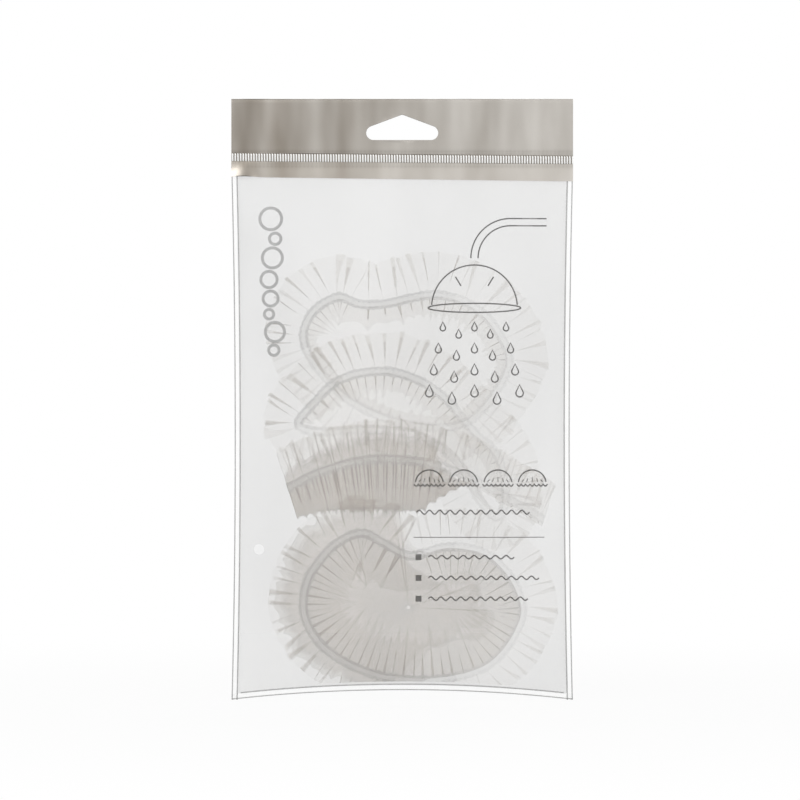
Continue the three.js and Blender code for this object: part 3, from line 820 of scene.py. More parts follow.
# Casing: points round it, waves of its ruches and of their drift, a ruche's depth in millimetres, and the
# place and waves of the weld rows
CASING_COLUMNS, RUCHES, DRIFTS = 1100, (83, 109, 141), (9, 17, 31)
RUCHE_DEPTH, ROW_PLACE, ROW_WAVES = 0.16, 0.86, 97

# Elastic: points round it, its crimps and their depth
ELASTIC_COLUMNS, CRIMPS, CRIMP_DEPTH = 720, 160, 0.06 * MM

# How much casing, weld rows and elastic hide before they fade
CASING_HAZE, ROW_HAZE, ELASTIC_HAZE = 0.08, 0.25, 0.08


def spline(places, closed):
    """Smooth line through places"""
    count = len(places)
    line = []
    for i in range(count if closed else count - 1):
        picked = [i - 1, i, i + 1, i + 2]
        picked = [k % count for k in picked] if closed else np.clip(picked, 0, count - 1)
        a, b, c, d = places[picked]
        for s in np.arange(LAY_STEPS) / LAY_STEPS:
            line.append(b + 0.5 * s * (c - a + s * (2 * a - 5 * b + 4 * c - d + s * (3 * b - a - 3 * c + d))))
    line.append(places[0 if closed else -1])
    return np.array(line)


def way(line):
    """Way along a line to each of its places"""
    return np.concatenate([[0], np.cumsum(np.linalg.norm(np.diff(line, axis=0), axis=1))])


def even_steps(line, count, closed):
    """Places at even steps along a line"""
    steps = way(line)
    at = np.linspace(0, steps[-1], count, endpoint=not closed)
    return np.column_stack([np.interp(at, steps, line[:, k]) for k in range(2)])


class Mouth:
    """Elastic mouth of a cap: its loop, the way out from it, and places round it"""

    def __init__(self, cap, bag):
        self.cap = cap
        self.bag = bag
        self.folded = cap["folded"]
        line = spline(np.array(cap["lay"]) * MM, not self.folded)
        if self.folded:
            run = even_steps(line, LOOP_STEPS // 2, False)
            along = unit(np.gradient(run, axis=0))
            up = unit((1 - UPRIGHT) * np.column_stack([-along[:, 1], along[:, 0]]) + [0, UPRIGHT])
            self.loop, self.out = np.vstack([run[::-1], run]), np.vstack([up[::-1], up])
        else:
            self.loop = even_steps(line, LOOP_STEPS, True)
            ahead, behind = (np.roll(self.loop, k, axis=0) for k in (-SLOPE_STEPS, SLOPE_STEPS))
            along = unit(ahead - behind)
            self.out = np.column_stack([along[:, 1], -along[:, 0]])
        sizes = bag.sizes
        count = len(CAPS)
        stack = (count * sizes.layer_depth + (count - 1) * sizes.layer_gap) / 2
        self.front = cap["layer"] * (sizes.layer_depth + sizes.layer_gap) - stack

    def look(self, table, share):
        """Row of a table round the loop at shares of its length"""
        at = np.mod(share, 1) * LOOP_STEPS
        first = np.floor(at).astype(int) % LOOP_STEPS
        rest = (at - np.floor(at))[:, None]
        return table[first] * (1 - rest) + table[(first + 1) % LOOP_STEPS] * rest

    def place(self, share, reach):
        """Places square to the loop, outwards for a reach above nought"""
        reach = np.broadcast_to(reach, share.shape)[:, None]
        return self.look(self.loop, share) + self.look(self.out, share) * reach

    def across(self, share):
        """How far across the pack the loop runs"""
        return self.look(self.loop, share)[:, 0]

    def upward(self, share):
        """How far the way out of the loop points up, from -1 to 1"""
        return self.look(self.out, share)[:, 1]

    def even_shares(self, reach):
        """Even steps along the line at a reach outside the loop, and the shares of the loop there"""
        line = self.loop + reach * self.out
        steps = way(np.vstack([line, line[:1]]))
        return steps / steps[-1], np.arange(LOOP_STEPS + 1) / LOOP_STEPS

    def rear(self, share):
        """One where a folded mouth's rear run is, else nought"""
        return (np.mod(share, 1) > 0.5) * int(self.folded)

    def shown_faint(self, share, edge, down):
        """One where the mouth shows fainter: right of an edge, or facing down in a covered cap"""
        below = self.upward(share) < -down
        return ((self.across(share) > edge) | (below & self.cap["covered"])).astype(int)

    def fade(self, share):
        """Step of fading of the casing and the elastic"""
        steps = sum(self.shown_faint(share, *start) for start in FADE_STARTS)
        return int(self.folded) + self.rear(share) + steps

    def room(self, share):
        """Distance across the mouth, inwards from its loop"""
        start = self.loop[::ROOM_STEP]
        edge = np.roll(start, -1, axis=0) - start
        found = []
        for place, inward in zip(start, -self.out[::ROOM_STEP]):
            away = start - place
            cross = inward[0] * edge[:, 1] - inward[1] * edge[:, 0]
            along = (away[:, 0] * edge[:, 1] - away[:, 1] * edge[:, 0]) / cross
            part = (away[:, 0] * inward[1] - away[:, 1] * inward[0]) / cross
            hits = along[(part >= 0) & (part <= 1) & (along > 0.5 * MM)]
            found.append(hits.min() if len(hits) else WIDEST_ROOM)
        least = np.min([np.roll(found, k) for k in ROOM_SPAN], axis=0)
        soft = np.mean([np.roll(least, k) for k in ROOM_SPAN], axis=0)
        soft = np.append(soft, soft[0])
        table = np.interp(np.arange(LOOP_STEPS) / ROOM_STEP, np.arange(len(soft)), soft)
        return self.look(table[:, None], share)[:, 0]

    def to_pack(self, flat, depth, share):
        """Places in the pack; the two runs of a folded mouth lie one behind the other"""
        x, z = self.bag.keep_inside(*flat.T)
        if self.folded:
            run = RUN_MIDDLE - RUN_GAP * np.tanh(RUN_TURN * np.sin(2 * math.pi * share))
            depth = FOLDED_DEPTH * depth + run * MM
        return np.column_stack([x, (self.front + depth) * self.bag.pillow(x, z), z])


class Film:
    """Rows of one cap's film, from the edge of its frill to the middle of its crown"""

    def __init__(self, mouth):
        cap, sizes = mouth.cap, mouth.bag.sizes
        rng = np.random.default_rng(cap["seed"])
        pleats = sizes.pleats
        number = np.repeat(np.arange(pleats), len(PLEAT_PARTS))

        def each(low, high):
            """Random value for each pleat"""
            return rng.uniform(low, high, pleats)[number]

        widths = rng.uniform(0.75, 1.3, pleats)
        widths /= widths.sum()
        self.rng = rng
        self.mouth = mouth
        self.root = sizes.casing_width / 2 + FIT_GAP
        self.even, self.shares = mouth.even_shares(0.6 * sizes.frill_length)
        self.start = np.concatenate([[0], np.cumsum(widths)[:-1]])[number]
        self.width = widths[number]
        self.part = np.tile(PLEAT_PARTS, pleats)
        self.folds = np.tile(PLEAT_FOLDS, pleats)
        self.swing = np.sin(2 * math.pi * self.part)
        self.ridge = np.exp(-((self.part - 0.5) / 0.12) ** 2)
        bow = np.sin(math.pi * self.part)

        # How far each pleat turns, leans, ends ragged and gathers, and where frill and gathers fade
        self.turn = each(0.26, 0.5)
        self.lean = each(-0.5, 0.5)
        self.ragged = each(-1.6, 1.4) * bow * MM
        self.inside = 0.72 + each(0.05, 0.5) * bow ** 1.5
        self.tip = each(0.75, 1.1)
        self.fade = each(0.35, 0.95)
        middle = self.to_share(self.start + self.width / 2)
        self.weak = rng.choice(3, pleats, p=(0.86, 0.12, 0.02))[number]
        self.weak = self.weak + mouth.rear(middle) + mouth.shown_faint(middle, PACK_HALF, COVERED_FROM)
        self.weak = self.weak + mouth.shown_faint(middle, rng.normal(18, 9, pleats)[number] * MM, COVERED_FROM)
        self.wander = crumple(cap["seed"] + 1, 9 * MM)
        self.rows = []
        self.kinds = []

    def to_share(self, step):
        """Share of the loop at an even step along the middle of the frill"""
        whole = np.floor(step)
        return whole + np.interp(step - whole, self.even, self.shares)

    def share(self, amount=0.0, out=0.0):
        """Shares of the loop, with pleats folded over by an amount and leaning by how far out they are"""
        step = self.part + amount * self.turn * self.swing + out * self.lean
        return self.to_share(self.start + self.width * step)

    def lay(self, flat, depth, share, faint=2):
        """Adds a row; the folds between it and the next, with their painted shade, show fainter by some steps
        """
        depth = depth + FILM_SWAY * self.wander(flat[:, 0], flat[:, 1])
        depth = np.clip(depth, LEAST_DEPTH, self.mouth.bag.sizes.layer_depth)
        self.rows.append(self.mouth.to_pack(flat, depth, share))
        self.kinds.append(np.where(self.folds > 0, np.clip(self.folds - self.weak - faint, 0, 2), 0))

    def ring(self, reach, depth, amount, height, out=0.0, faint=2):
        """Row at a reach from the loop, with pleats folded over by an amount and as high as a height"""
        share = self.share(amount, out)
        self.lay(self.mouth.place(share, reach), depth - height * self.ridge * MM, share, faint)

    def frill(self):
        """Pleats outside the mouth, and the film under the casing"""
        sizes, cap = self.mouth.bag.sizes, self.mouth.cap
        upward = self.mouth.upward(self.share())
        full = sizes.frill_length * cap["frill"] * (1 + 0.12 * upward) + self.ragged
        for u in FRILL_ROWS:
            depth = FRILL_DEPTH + (FILM_DEPTH - FRILL_DEPTH) * (1 - u) ** 3
            faint = (u > self.tip).astype(int) + int(u < 0.3)
            self.ring(self.root + full * u, depth, 0.55 + 0.5 * u, 0.3 + 0.7 * u, u, faint)
        for reach in (CASING_REACH, -CASING_REACH):
            self.ring(reach, FILM_DEPTH, 0.3, 0.12)

    def gathers(self, full):
        """Pleats inside the mouth, which fade towards the crown"""
        for u in GATHER_ROWS:
            depth = GATHER_DEPTH - GATHER_RISE * math.sin(math.pi * u)
            faint = (u > self.fade).astype(int) + (u > self.fade + 0.3).astype(int) - int(u < 0.5)
            reach = -(self.root + (full - self.root) * u)
            self.ring(reach, depth, 0.8 - 0.5 * u, 0.6 * (1 - u) + 0.1, 0.0, faint)

    def slack_crown(self, full):
        """Crown that lies loose behind its mouth, doubled up there as often as the cap says"""
        share = self.share()
        inner = self.mouth.place(share, -full)
        middle = np.array(self.mouth.cap["middle"]) * MM
        single = np.interp(self.mouth.across(share), SINGLE_OPEN, (0, 1))
        upward = self.mouth.upward(share)
        turns = self.mouth.cap["passes"]
        for turn in range(turns):
            deep = (CROWN_DEPTH + CROWN_STACK * turn / turns) * MM
            behind = FIRST_FOLD
            if turn:
                short = behind
                if turn % 2:
                    short = -(11 + 2 * turn + 3 * np.sin(2 * math.pi * (turn + 4) * share)) * MM
                behind = self.rng.uniform(*CROWN_REACH) * (1 + 0.25 * upward) * MM + 2 * self.ragged
                behind = behind + (short - behind) * single
            outer = self.mouth.place(share, behind)
            for u in CROWN_OUT:
                self.lay(inner + (outer - inner) * u, deep + 0.05 * MM * u, share)
            reach = 0.985 + 0.01 * np.sin(2 * math.pi * (turn + 2) * share + self.rng.uniform(0, 6))
            steps = CROWN_BACK
            if turn == turns - 1:
                reach, steps = np.ones(len(share)), CROWN_LAST
            inner = outer + (middle - outer) * reach[:, None]
            for u in steps:
                self.lay(outer + (inner - outer) * u, deep + 0.2 * MM, share)

    def folded_crown(self, full):
        """Crown of a cap folded flat: doubled up behind its gathers, and twice behind its frill"""
        double = np.interp(self.mouth.across(self.share()), SINGLE_FOLDED, (1, 0))
        low, foot = -full, TUCK_FOOT - full
        for turn in range(self.mouth.cap["passes"]):
            high = (TUCK_HIGH - TUCK_DROP * turn) * full + 2 * self.ragged if turn < 2 else TUCK_LAST
            high = low + (high - low) * double
            for start, end in ((low, high), (high, foot)):
                for u in CROWN_FOLD:
                    self.ring(start + (end - start) * u, (TUCK_DEPTH + TUCK_STACK * turn) * MM, 0.45, 0.1)
            low = foot

    def build(self, finish):
        name = self.mouth.cap["name"]
        columns = len(self.part)
        batch = Batch()
        faces = grid_faces(len(self.rows), columns, True)
        batch.add(np.vstack(self.rows), faces, np.concatenate(self.kinds[:-1]))
        if not self.mouth.folded:
            batch.add([], [tuple(range(-columns, 0))], [0])
        piece = batch.build(name + "_gathered_film", finish)
        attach(piece, name)
        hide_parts(name + "_film")


def cap_film(mouth, finish):
    """One gathered disc: pleated frill, film under the casing, gathers inside it and a slack crown"""
    film = Film(mouth)
    film.frill()
    share = film.share()
    usual = mouth.bag.sizes.gather_length * mouth.cap["gather"]
    full = usual * film.inside
    if mouth.folded:
        full = (0.3 * full + 0.7 * usual) * np.interp(mouth.across(share), HANG_PLACES, HANG_SHARES)
        film.gathers(full)
        film.folded_crown(full)
    else:
        low = mouth.cap["below"]
        full = full * np.clip(0.5 + 0.5 * low + (1.5 - 1.5 * low) * mouth.upward(share), low, 1)
        full = np.minimum(full, (0.3 + 0.2 * film.inside) * mouth.room(share))
        full = np.maximum(full, LEAST_GATHER)
        film.gathers(full)
        film.slack_crown(full)
    film.build(finish)


def ripple(counts, share, rng):
    """Uneven waves round a loop, between about -1 and 1"""
    phases = rng.uniform(0, 6, len(counts))
    return sum(np.sin(2 * math.pi * n * share + phase) for n, phase in zip(counts, phases)) / len(counts)


def cap_casing(mouth, finish):
    """Tape over the elastic, ruched between two crimped weld rows; tape and rows show fainter by the mouth's
    steps of fading
    """
    name = mouth.cap["name"]
    rng = np.random.default_rng(mouth.cap["seed"] + 5)
    share = np.arange(CASING_COLUMNS) / CASING_COLUMNS
    ruche = ripple(RUCHES, share, rng)
    drift = ripple(DRIFTS, share, rng)
    half = mouth.bag.sizes.casing_width / 2
    edge = half / MM
    swell = RUCHE_DEPTH * ruche
    batch = Batch()

    def add_strip(profile, shift, kinds):
        """Strip with its reach and depth in millimetres, line by line"""
        rows = [mouth.to_pack(mouth.place(share, reach * MM + shift), (depth + swell) * MM, share)
                for reach, depth in profile]
        faces = grid_faces(len(rows), CASING_COLUMNS, True)
        batch.add(np.vstack(rows), faces, np.tile(kinds, len(rows) - 1))

    arch = ((-1, 1.45), (-0.62, 1.1), (-0.35, 0.62), (0, 0.5), (0.35, 0.62), (0.62, 1.1), (1, 1.45))
    add_strip([(reach * edge, depth) for reach, depth in arch], 0.12 * MM * ruche, mouth.fade(share))
    thin = 0.6 + 0.2 * drift + 0.12 * ruche
    for side in (-1, 1):
        weave = 0.2 * MM * np.sin(2 * math.pi * ROW_WAVES * share + side) + 0.14 * MM * drift
        add_strip([(-thin, 1.2), (0 * thin, 0.9), (thin, 1.2)], side * ROW_PLACE * half + weave,
                  len(FADES) + mouth.fade(share))
    piece = batch.build(name + "_casing_tape", finish)
    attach(piece, name)
    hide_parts(name + "_casing")


def cap_elastic(mouth, finish):
    """Flat elastic, crimped where it has drawn the film together"""
    name = mouth.cap["name"]
    share = np.arange(ELASTIC_COLUMNS) / ELASTIC_COLUMNS
    crimp = CRIMP_DEPTH * np.sin(2 * math.pi * CRIMPS * share)
    half = mouth.bag.sizes.elastic_width / 2
    corners = ((-1, 0.95), (-0.5, 0.9), (0.5, 0.9), (1, 0.95), (1, 1.4), (0.5, 1.45), (-0.5, 1.45), (-1, 1.4))
    rows = [mouth.to_pack(mouth.place(share, reach * half + 0.3 * crimp), depth * MM + crimp, share)
            for reach, depth in corners]
    count = len(corners) * ELASTIC_COLUMNS
    faces = [tuple(i % count for i in face) for face in grid_faces(len(corners) + 1, ELASTIC_COLUMNS, True)]
    piece = add_object(name + "_elastic_band", np.vstack(rows), faces, finish)
    piece.data.polygons.foreach_set("material_index", np.tile(mouth.fade(share), len(corners)))
    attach(piece, name)
    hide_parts(name + "_elastic")


# Print

INK_LIFT = 0.14 * MM

# Shower rose: middle, half and rise of its rim; its arm's radius, half width and gap; and the turn of its two
# glints from upright, with their ends against its half
ROSE_X, ROSE_Z, ROSE_HALF, RIM_RISE = 32 * MM, -86 * MM, 19 * MM, 2.0 * MM
ARM_RADIUS, ARM_HALF, ARM_GAP = 16 * MM, 1.6 * MM, 3 * MM
GLINT_TURN, GLINT_ENDS = 0.55, (0.6, 0.85)

# Drops: rows and columns, first fall and step, and how far each other column hangs lower
DROP_ROWS, DROP_COLUMNS = 4, 5
DROP_FALL, DROP_STEP, DROP_SHIFT = 9 * MM, 9.6 * MM, 3.2 * MM

# Small caps in a row: count, first place, step, level and half width; scallops of a band, and steps of each
SMALL_CAPS, SMALL_X, SMALL_STEP, SMALL_Z, SMALL_HALF = 4, 12 * MM, 15.2 * MM, -164 * MM, 6.2 * MM
SCALLOPS, SCALLOP_STEPS = 7, 6

# Wave below the small caps: place across and up, length, height and count
LEAD_WAVE = (6.4 * MM, -176.5 * MM, 50 * MM, 0.9 * MM, 11)
WAVE_STEPS = 14

# Rule: place across and up, length, stroke and steps
RULE_X, RULE_Z, RULE_LENGTH, RULE_STROKE, RULE_STEPS = 5 * MM, -187.6 * MM, 58 * MM, 0.35 * MM, 40

# Notes: length and waves of each line, top level and step, place and height of the lines, and their marks
NOTES = ((38 * MM, 8), (49 * MM, 11), (44 * MM, 10))
NOTE_TOP, NOTE_STEP, NOTE_X, NOTE_HEIGHT = -196.4 * MM, 9.2 * MM, 11.6 * MM, 0.75 * MM
MARK_X, MARK_SIDE = 7.2 * MM, 2.6 * MM

# Bubbles rise between two levels: place and stroke, range of radius and most shift in millimetres, and gap
BUBBLE_X, BUBBLE_LOW, BUBBLE_HIGH, BUBBLE_STROKE = -57 * MM, -107 * MM, -45 * MM, 1.3 * MM
BUBBLE_RADII, BUBBLE_SHIFT, BUBBLE_GAP = (1.3, 5.2), 2.2, 1.5 * MM

# How much dark and pale ink hide
INK_HAZE, PALE_HAZE = 0.85, 0.8


class Sheet:
    """Flat printed lines laid on the front film"""

    def __init__(self, bag, stroke):
        self.bag = bag
        self.stroke = stroke
        self.batch = Batch()

    def lay(self, x, z):
        return (x, -float(self.bag.film(x, z)) - INK_LIFT, z)

    def line(self, places, width=None, closed=False):
        """Stroke of even width along places, in metres across and up"""
        path = np.array(places, float)
        ahead = np.roll(path, -1, axis=0) - path
        behind = path - np.roll(path, 1, axis=0)
        if not closed:
            ahead[-1], behind[0] = behind[-1], ahead[0]
        along = unit(unit(ahead) + unit(behind))
        out = np.column_stack([-along[:, 1], along[:, 0]]) * (width or self.stroke) / 2
        points = [self.lay(*p) for p in path + out] + [self.lay(*p) for p in path - out]
        count = len(path)
        last = count if closed else count - 1
        faces = [(i, (i + 1) % count, count + (i + 1) % count, count + i) for i in range(last)]
        self.batch.add(points, faces)

    def square(self, x, z, side):
        steps = 4
        points = [self.lay(x + side * (i / steps - 0.5), z + side * (j / steps - 0.5))
                  for j in range(steps + 1) for i in range(steps + 1)]
        self.batch.add(points, grid_faces(steps + 1, steps + 1))

    def ring(self, x, z, radius, width):
        self.line(arc(x, z, radius, 0, 2 * math.pi, 40)[:-1], width, True)

    def drop(self, x, z, size):
        """Falling drop: a round belly under a point"""
        belly = arc(x, z, size / 2, math.radians(-205), math.radians(25), 22)
        self.line(belly + [(x, z + 1.15 * size)], closed=True)

    def wave(self, x, z, long, height, count):
        steps = count * WAVE_STEPS
        self.line([(x + long * i / steps, z + height * math.sin(2 * math.pi * count * i / steps))
                   for i in range(steps + 1)])

    def small_cap(self, x, z, half):
        """Puffed cap with a scalloped band"""
        self.line(arc(x, z, half, math.radians(8), math.radians(172), 26))
        steps = SCALLOPS * SCALLOP_STEPS
        band = []
        for share in np.arange(steps + 1) / steps:
            drop = 0.16 * half * abs(math.sin(math.pi * SCALLOPS * share))
            band.append((x + 2.2 * half * (share - 0.5), z - drop))
        self.line(band)
        for side in (-0.75, -0.4, 0.0, 0.4, 0.75):
            top = (x + 0.8 * side * half, z + (0.5 - 0.25 * abs(side)) * half)
            self.line([(x + side * half, z + 0.14 * half), top], 0.6 * self.stroke)

    def build(self, name, finish):
        piece = self.batch.build(name, [finish])
        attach(piece, "bag")


def shower_drawing(sheet):
    """Line drawing of a shower rose on its arm, with rows of drops below it"""
    sheet.line(arc(ROSE_X, ROSE_Z, ROSE_HALF, math.radians(4), math.radians(176), 44))
    turns = [2 * math.pi * i / 60 for i in range(60)]
    sheet.line([(ROSE_X + 1.08 * ROSE_HALF * math.cos(turn), ROSE_Z + RIM_RISE * math.sin(turn))
                for turn in turns], closed=True)
    for half in (-ARM_HALF, ARM_HALF):
        bend = arc(ROSE_X + ARM_RADIUS, ROSE_Z + ROSE_HALF + ARM_GAP, ARM_RADIUS - half,
                   math.pi, math.pi / 2, 24)
        sheet.line(bend + [(ROSE_X + 2 * ARM_RADIUS, bend[-1][1])])
    for turn in (-GLINT_TURN, GLINT_TURN):
        sheet.line([(ROSE_X + end * ROSE_HALF * math.sin(turn), ROSE_Z + end * ROSE_HALF * math.cos(turn))
                    for end in GLINT_ENDS])
    for row in range(DROP_ROWS):
        for column in range(DROP_COLUMNS):
            x = ROSE_X + (column - DROP_COLUMNS // 2) * (7.0 + row) * MM
            shift = DROP_SHIFT if column % 2 else 0.0
            sheet.drop(x, ROSE_Z - DROP_FALL - DROP_STEP * row - shift, (2.4 + 0.3 * row) * MM)


def notes_block(sheet):
    """Row of small caps, a wave, a rule, and three wave lines with square marks"""
    for i in range(SMALL_CAPS):
        sheet.small_cap(SMALL_X + SMALL_STEP * i, SMALL_Z, SMALL_HALF)
    sheet.wave(*LEAD_WAVE)
    rule = [(RULE_X + RULE_LENGTH * i / RULE_STEPS, RULE_Z) for i in range(RULE_STEPS + 1)]
    sheet.line(rule, RULE_STROKE)
    for i, (long, waves) in enumerate(NOTES):
        z = NOTE_TOP - NOTE_STEP * i
        sheet.square(MARK_X, z, MARK_SIDE)
        sheet.wave(NOTE_X, z, long, NOTE_HEIGHT, waves)


def bubble_column(sheet):
    """Column of rising bubbles"""
    rng = np.random.default_rng(71)
    z = BUBBLE_LOW
    while z < BUBBLE_HIGH:
        radius = rng.uniform(*BUBBLE_RADII) * MM
        x = BUBBLE_X + rng.uniform(-BUBBLE_SHIFT, BUBBLE_SHIFT) * MM
        sheet.ring(x, z + radius, radius, BUBBLE_STROKE)
        z += 2 * radius + BUBBLE_GAP


# Operators

class CAPPACK_OT_header(bpy.types.Operator):
    """Makes the folded strip, the ribbed seal and the lip of the header"""

    bl_idname = "cap_pack.header"
    bl_label = "Header"

    def execute(self, context):
        colours = context.scene.cap_pack_colours
        ribbed_seal(colours)
        header_lip(colours)
        header_strip(colours)
        return {"FINISHED"}


class CAPPACK_OT_bag(bpy.types.Operator):
    """Makes the two films of the bag and its three welds"""

    bl_idname = "cap_pack.bag"
    bl_label = "Bag"

    def execute(self, context):
        colours = context.scene.cap_pack_colours
        bag = Bag(context.scene.cap_pack_sizes)
        finish = [trim_material("clear_weld", colours.weld, WELD_HAZE, 0.3),
                  trim_material("weld_bead", colours.bead, RIDGE_HAZE, 0.3)]
        side_weld(bag, -1, "left_weld", "left_side_weld", finish)
        side_weld(bag, 1, "right_weld", "right_side_weld", finish)
        bottom_weld(bag, finish)
        film = film_material("frosted_film", colours.bag_film, colours.bag_haze, 0.4, 22.0, 0.16)
        bag_film(bag, -1, "front_film", ("front_panel", "bag_neck"), film)
        bag_film(bag, 1, "back_film", ("back_panel",), film)
        return {"FINISHED"}


class CAPPACK_OT_caps(bpy.types.Operator):
    """Makes the film, casing and elastic of each cap"""

    bl_idname = "cap_pack.caps"
    bl_label = "Caps"

    def execute(self, context):
        colours = context.scene.cap_pack_colours
        bag = Bag(context.scene.cap_pack_sizes)
        # Flank and edge of a fold take darker copies of the cap film as painted shade; their higher haze
        # stands for film seen end on
        film = [cap_material("flat_film", colours.cap_film, colours.cap_haze, 0.3),
                cap_material("fold_flank_shade", shade(colours.cap_film, 0.85), colours.flank_haze, 0.35),
                cap_material("fold_edge_shade", shade(colours.cap_film, 0.7), colours.edge_haze, 0.4)]
        tape = [trim_material("casing_tape", colours.casing, CASING_HAZE * fade, 0.32) for fade in FADES]
        rows = [trim_material("weld_row", colours.weld_row, ROW_HAZE * fade, 0.4) for fade in FADES]
        elastic = [trim_material("elastic_band", colours.elastic, ELASTIC_HAZE * fade, 0.6) for fade in FADES]
        for cap in CAPS:
            mouth = Mouth(cap, bag)
            cap_casing(mouth, tape + rows)
            cap_elastic(mouth, elastic)
            cap_film(mouth, film)
        return {"FINISHED"}


class CAPPACK_OT_print(bpy.types.Operator):
    """Lays the printed design on the front film"""

    bl_idname = "cap_pack.print_design"
    bl_label = "Print"

    def execute(self, context):
        sizes, colours = context.scene.cap_pack_sizes, context.scene.cap_pack_colours
        bag = Bag(sizes)
        dark = Sheet(bag, sizes.stroke)
        shower_drawing(dark)
        notes_block(dark)
        dark.build("dark_print", trim_material("dark_ink", colours.ink, INK_HAZE, 0.5))
        pale = Sheet(bag, sizes.stroke)
        bubble_column(pale)
        pale.build("pale_print", trim_material("pale_ink", colours.pale_ink, PALE_HAZE, 0.5))
        return {"FINISHED"}


# Camera: distance, width of the field at the pack, middle of the view across and up, and sensor
CAMERA_DISTANCE = 1.8
FIELD = 0.35555
VIEW_CENTRE = (-0.98 * MM, -126.8 * MM)
SENSOR = 36.0

# Lamps: name, place, size and power
LAMPS = (("key_panel", (-0.75, -1.15, 0.55), 0.9, 9.5), ("fill_panel", (0.9, -0.9, 0.1), 0.9, 3.0),
         ("back_panel", (0.2, 1.3, 0.6), 1.0, 5.0))

# Light of the surround on the pack, and layers of film that light and view pass through
SURROUND_LIGHT = 0.42
FILM_LAYERS = 64

# Floor: half width, gap below the pack, its two tones, and where its shadow gives way to white
FLOOR_HALF, FLOOR_GAP = 3.0, 1.2 * MM
FLOOR_TONES = ((0.93, 0.93, 0.925), (0.96, 0.96, 0.955))
FLOOR_WHITE, SHADOW_START, SHADOW_END = 0.9, 0.15, 0.6


class CAPPACK_OT_stage(bpy.types.Operator):
    """Sets the floor, the soft lights, the white surround and the camera"""

    bl_idname = "cap_pack.stage"
    bl_label = "Stage"

    def execute(self, context):
        scene = context.scene
        add_floor()
        for lamp in LAMPS:
            add_light(*lamp)
        scene.world = white_surround()
        lens = bpy.data.cameras.new("camera")
        lens.sensor_width = SENSOR
        lens.lens = SENSOR * CAMERA_DISTANCE / FIELD
        camera = bpy.data.objects.new("camera", lens)
        camera.location = (VIEW_CENTRE[0], -CAMERA_DISTANCE, VIEW_CENTRE[1])
        camera.rotation_euler = (math.pi / 2, 0, 0)
        scene.collection.objects.link(camera)
        scene.camera = camera
        scene.view_settings.view_transform = "Standard"
        scene.cycles.transparent_max_bounces = FILM_LAYERS
        return {"FINISHED"}


def rays(tree, *kinds):
    """One for rays of some kinds, else nought"""
    path = node(tree, "ShaderNodeLightPath")
    found, *others = [path.outputs[f"Is {kind} Ray"] for kind in kinds]
    for other in others:
        found = maths(tree, "MAXIMUM", found, other)
    return found


def mix_shaders(tree, share, first, second, output):
    """Gives an output one shader, and a second by a share"""
    mixed = node(tree, "ShaderNodeMixShader", fac=share)
    tree.links.new(first, mixed.inputs[1])
    tree.links.new(second, mixed.inputs[2])
    give(tree, tree.nodes[output], surface=mixed.outputs["Shader"])


def add_floor():
    """Pale floor that keeps the pack's soft shadow and is white to the camera"""
    half, level = FLOOR_HALF, CORNER_Z - FLOOR_GAP
    points = [(-half, -half, level), (half, -half, level), (half, half, level), (-half, half, level)]
    made, tree, shader = material("pale_floor")
    tone = two_tone(tree, stretched_noise(tree, (1, 1, 1), 3.0), *FLOOR_TONES)
    give(tree, shader, base_color=tone, roughness=0.9, specular_ior_level=0.1)
    glow = node(tree, "ShaderNodeEmission", color=(1, 1, 1, 1), strength=1.0)
    place = node(tree, "ShaderNodeTexCoord")
    away = node(tree, "ShaderNodeVectorMath", operation="LENGTH", vector=place.outputs["Object"])
    white = spread(tree, away.outputs["Value"], FLOOR_WHITE, 1.0, SHADOW_START, SHADOW_END, "SMOOTHSTEP")
    shown = maths(tree, "MULTIPLY", rays(tree, "Camera", "Glossy"), white)
    mix_shaders(tree, shown, shader.outputs["BSDF"], glow.outputs["Emission"], "Material Output")
    floor = add_object("floor", points, [(0, 1, 2, 3)], [made])


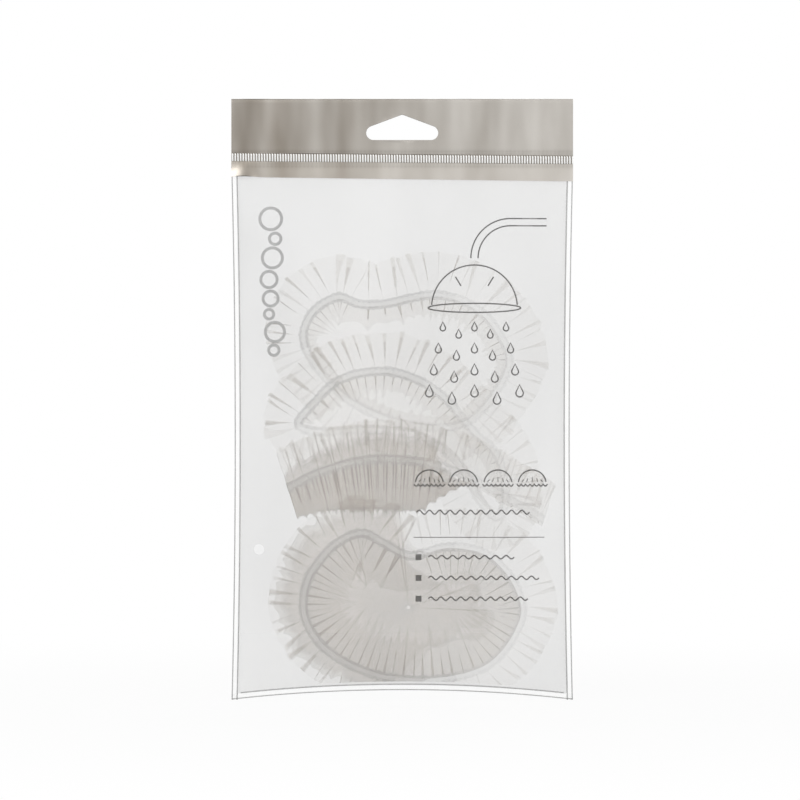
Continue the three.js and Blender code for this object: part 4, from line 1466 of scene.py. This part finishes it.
def add_light(name, place, size, power):
    lamp = bpy.data.lights.new(name, "AREA")
    lamp.size = size
    lamp.energy = power
    light = bpy.data.objects.new(name, lamp)
    light.location = place
    aim = Vector((0, 0, VIEW_CENTRE[1])) - Vector(place)
    light.rotation_euler = aim.to_track_quat("-Z", "Y").to_euler()
    bpy.context.scene.collection.objects.link(light)


def white_surround():
    """World that lights the pack softly and is white to the camera"""
    world = bpy.data.worlds.new("white_surround")
    world.use_nodes = True
    tree = world.node_tree
    soft = give(tree, tree.nodes["Background"], color=(1, 1, 1, 1), strength=SURROUND_LIGHT)
    white = node(tree, "ShaderNodeBackground", color=(1, 1, 1, 1), strength=1.0)
    mix_shaders(tree, rays(tree, "Camera", "Glossy", "Transmission"), soft.outputs["Background"],
                white.outputs["Background"], "World Output")
    return world


class CAPPACK_PT_panel(bpy.types.Panel):
    """Lists the pack's pieces, sizes and colours"""

    bl_idname = "CAPPACK_PT_panel"
    bl_label = "Cap Pack"
    bl_space_type = "VIEW_3D"
    bl_region_type = "UI"
    bl_category = "Cap Pack"

    def draw(self, context):
        layout = self.layout
        for operator in OPERATORS:
            layout.operator(operator.bl_idname)
        for group in (context.scene.cap_pack_sizes, context.scene.cap_pack_colours):
            box = layout.box()
            for name in group.__annotations__:
                box.prop(group, name)


OPERATORS = (CAPPACK_OT_stage, CAPPACK_OT_header, CAPPACK_OT_bag, CAPPACK_OT_caps, CAPPACK_OT_print)
CLASSES = (PackSizes, PackColours, *OPERATORS, CAPPACK_PT_panel)


def register():
    for item in CLASSES:
        bpy.utils.register_class(item)
    bpy.types.Scene.cap_pack_sizes = PointerProperty(type=PackSizes)
    bpy.types.Scene.cap_pack_colours = PointerProperty(type=PackColours)


def unregister():
    del bpy.types.Scene.cap_pack_colours
    del bpy.types.Scene.cap_pack_sizes
    for item in reversed(CLASSES):
        bpy.utils.unregister_class(item)


def main():
    register()
    bpy.ops.cap_pack.stage()
    bpy.ops.cap_pack.header()
    bpy.ops.cap_pack.bag()
    bpy.ops.cap_pack.caps()
    bpy.ops.cap_pack.print_design()


if __name__ == "__main__":
    main()
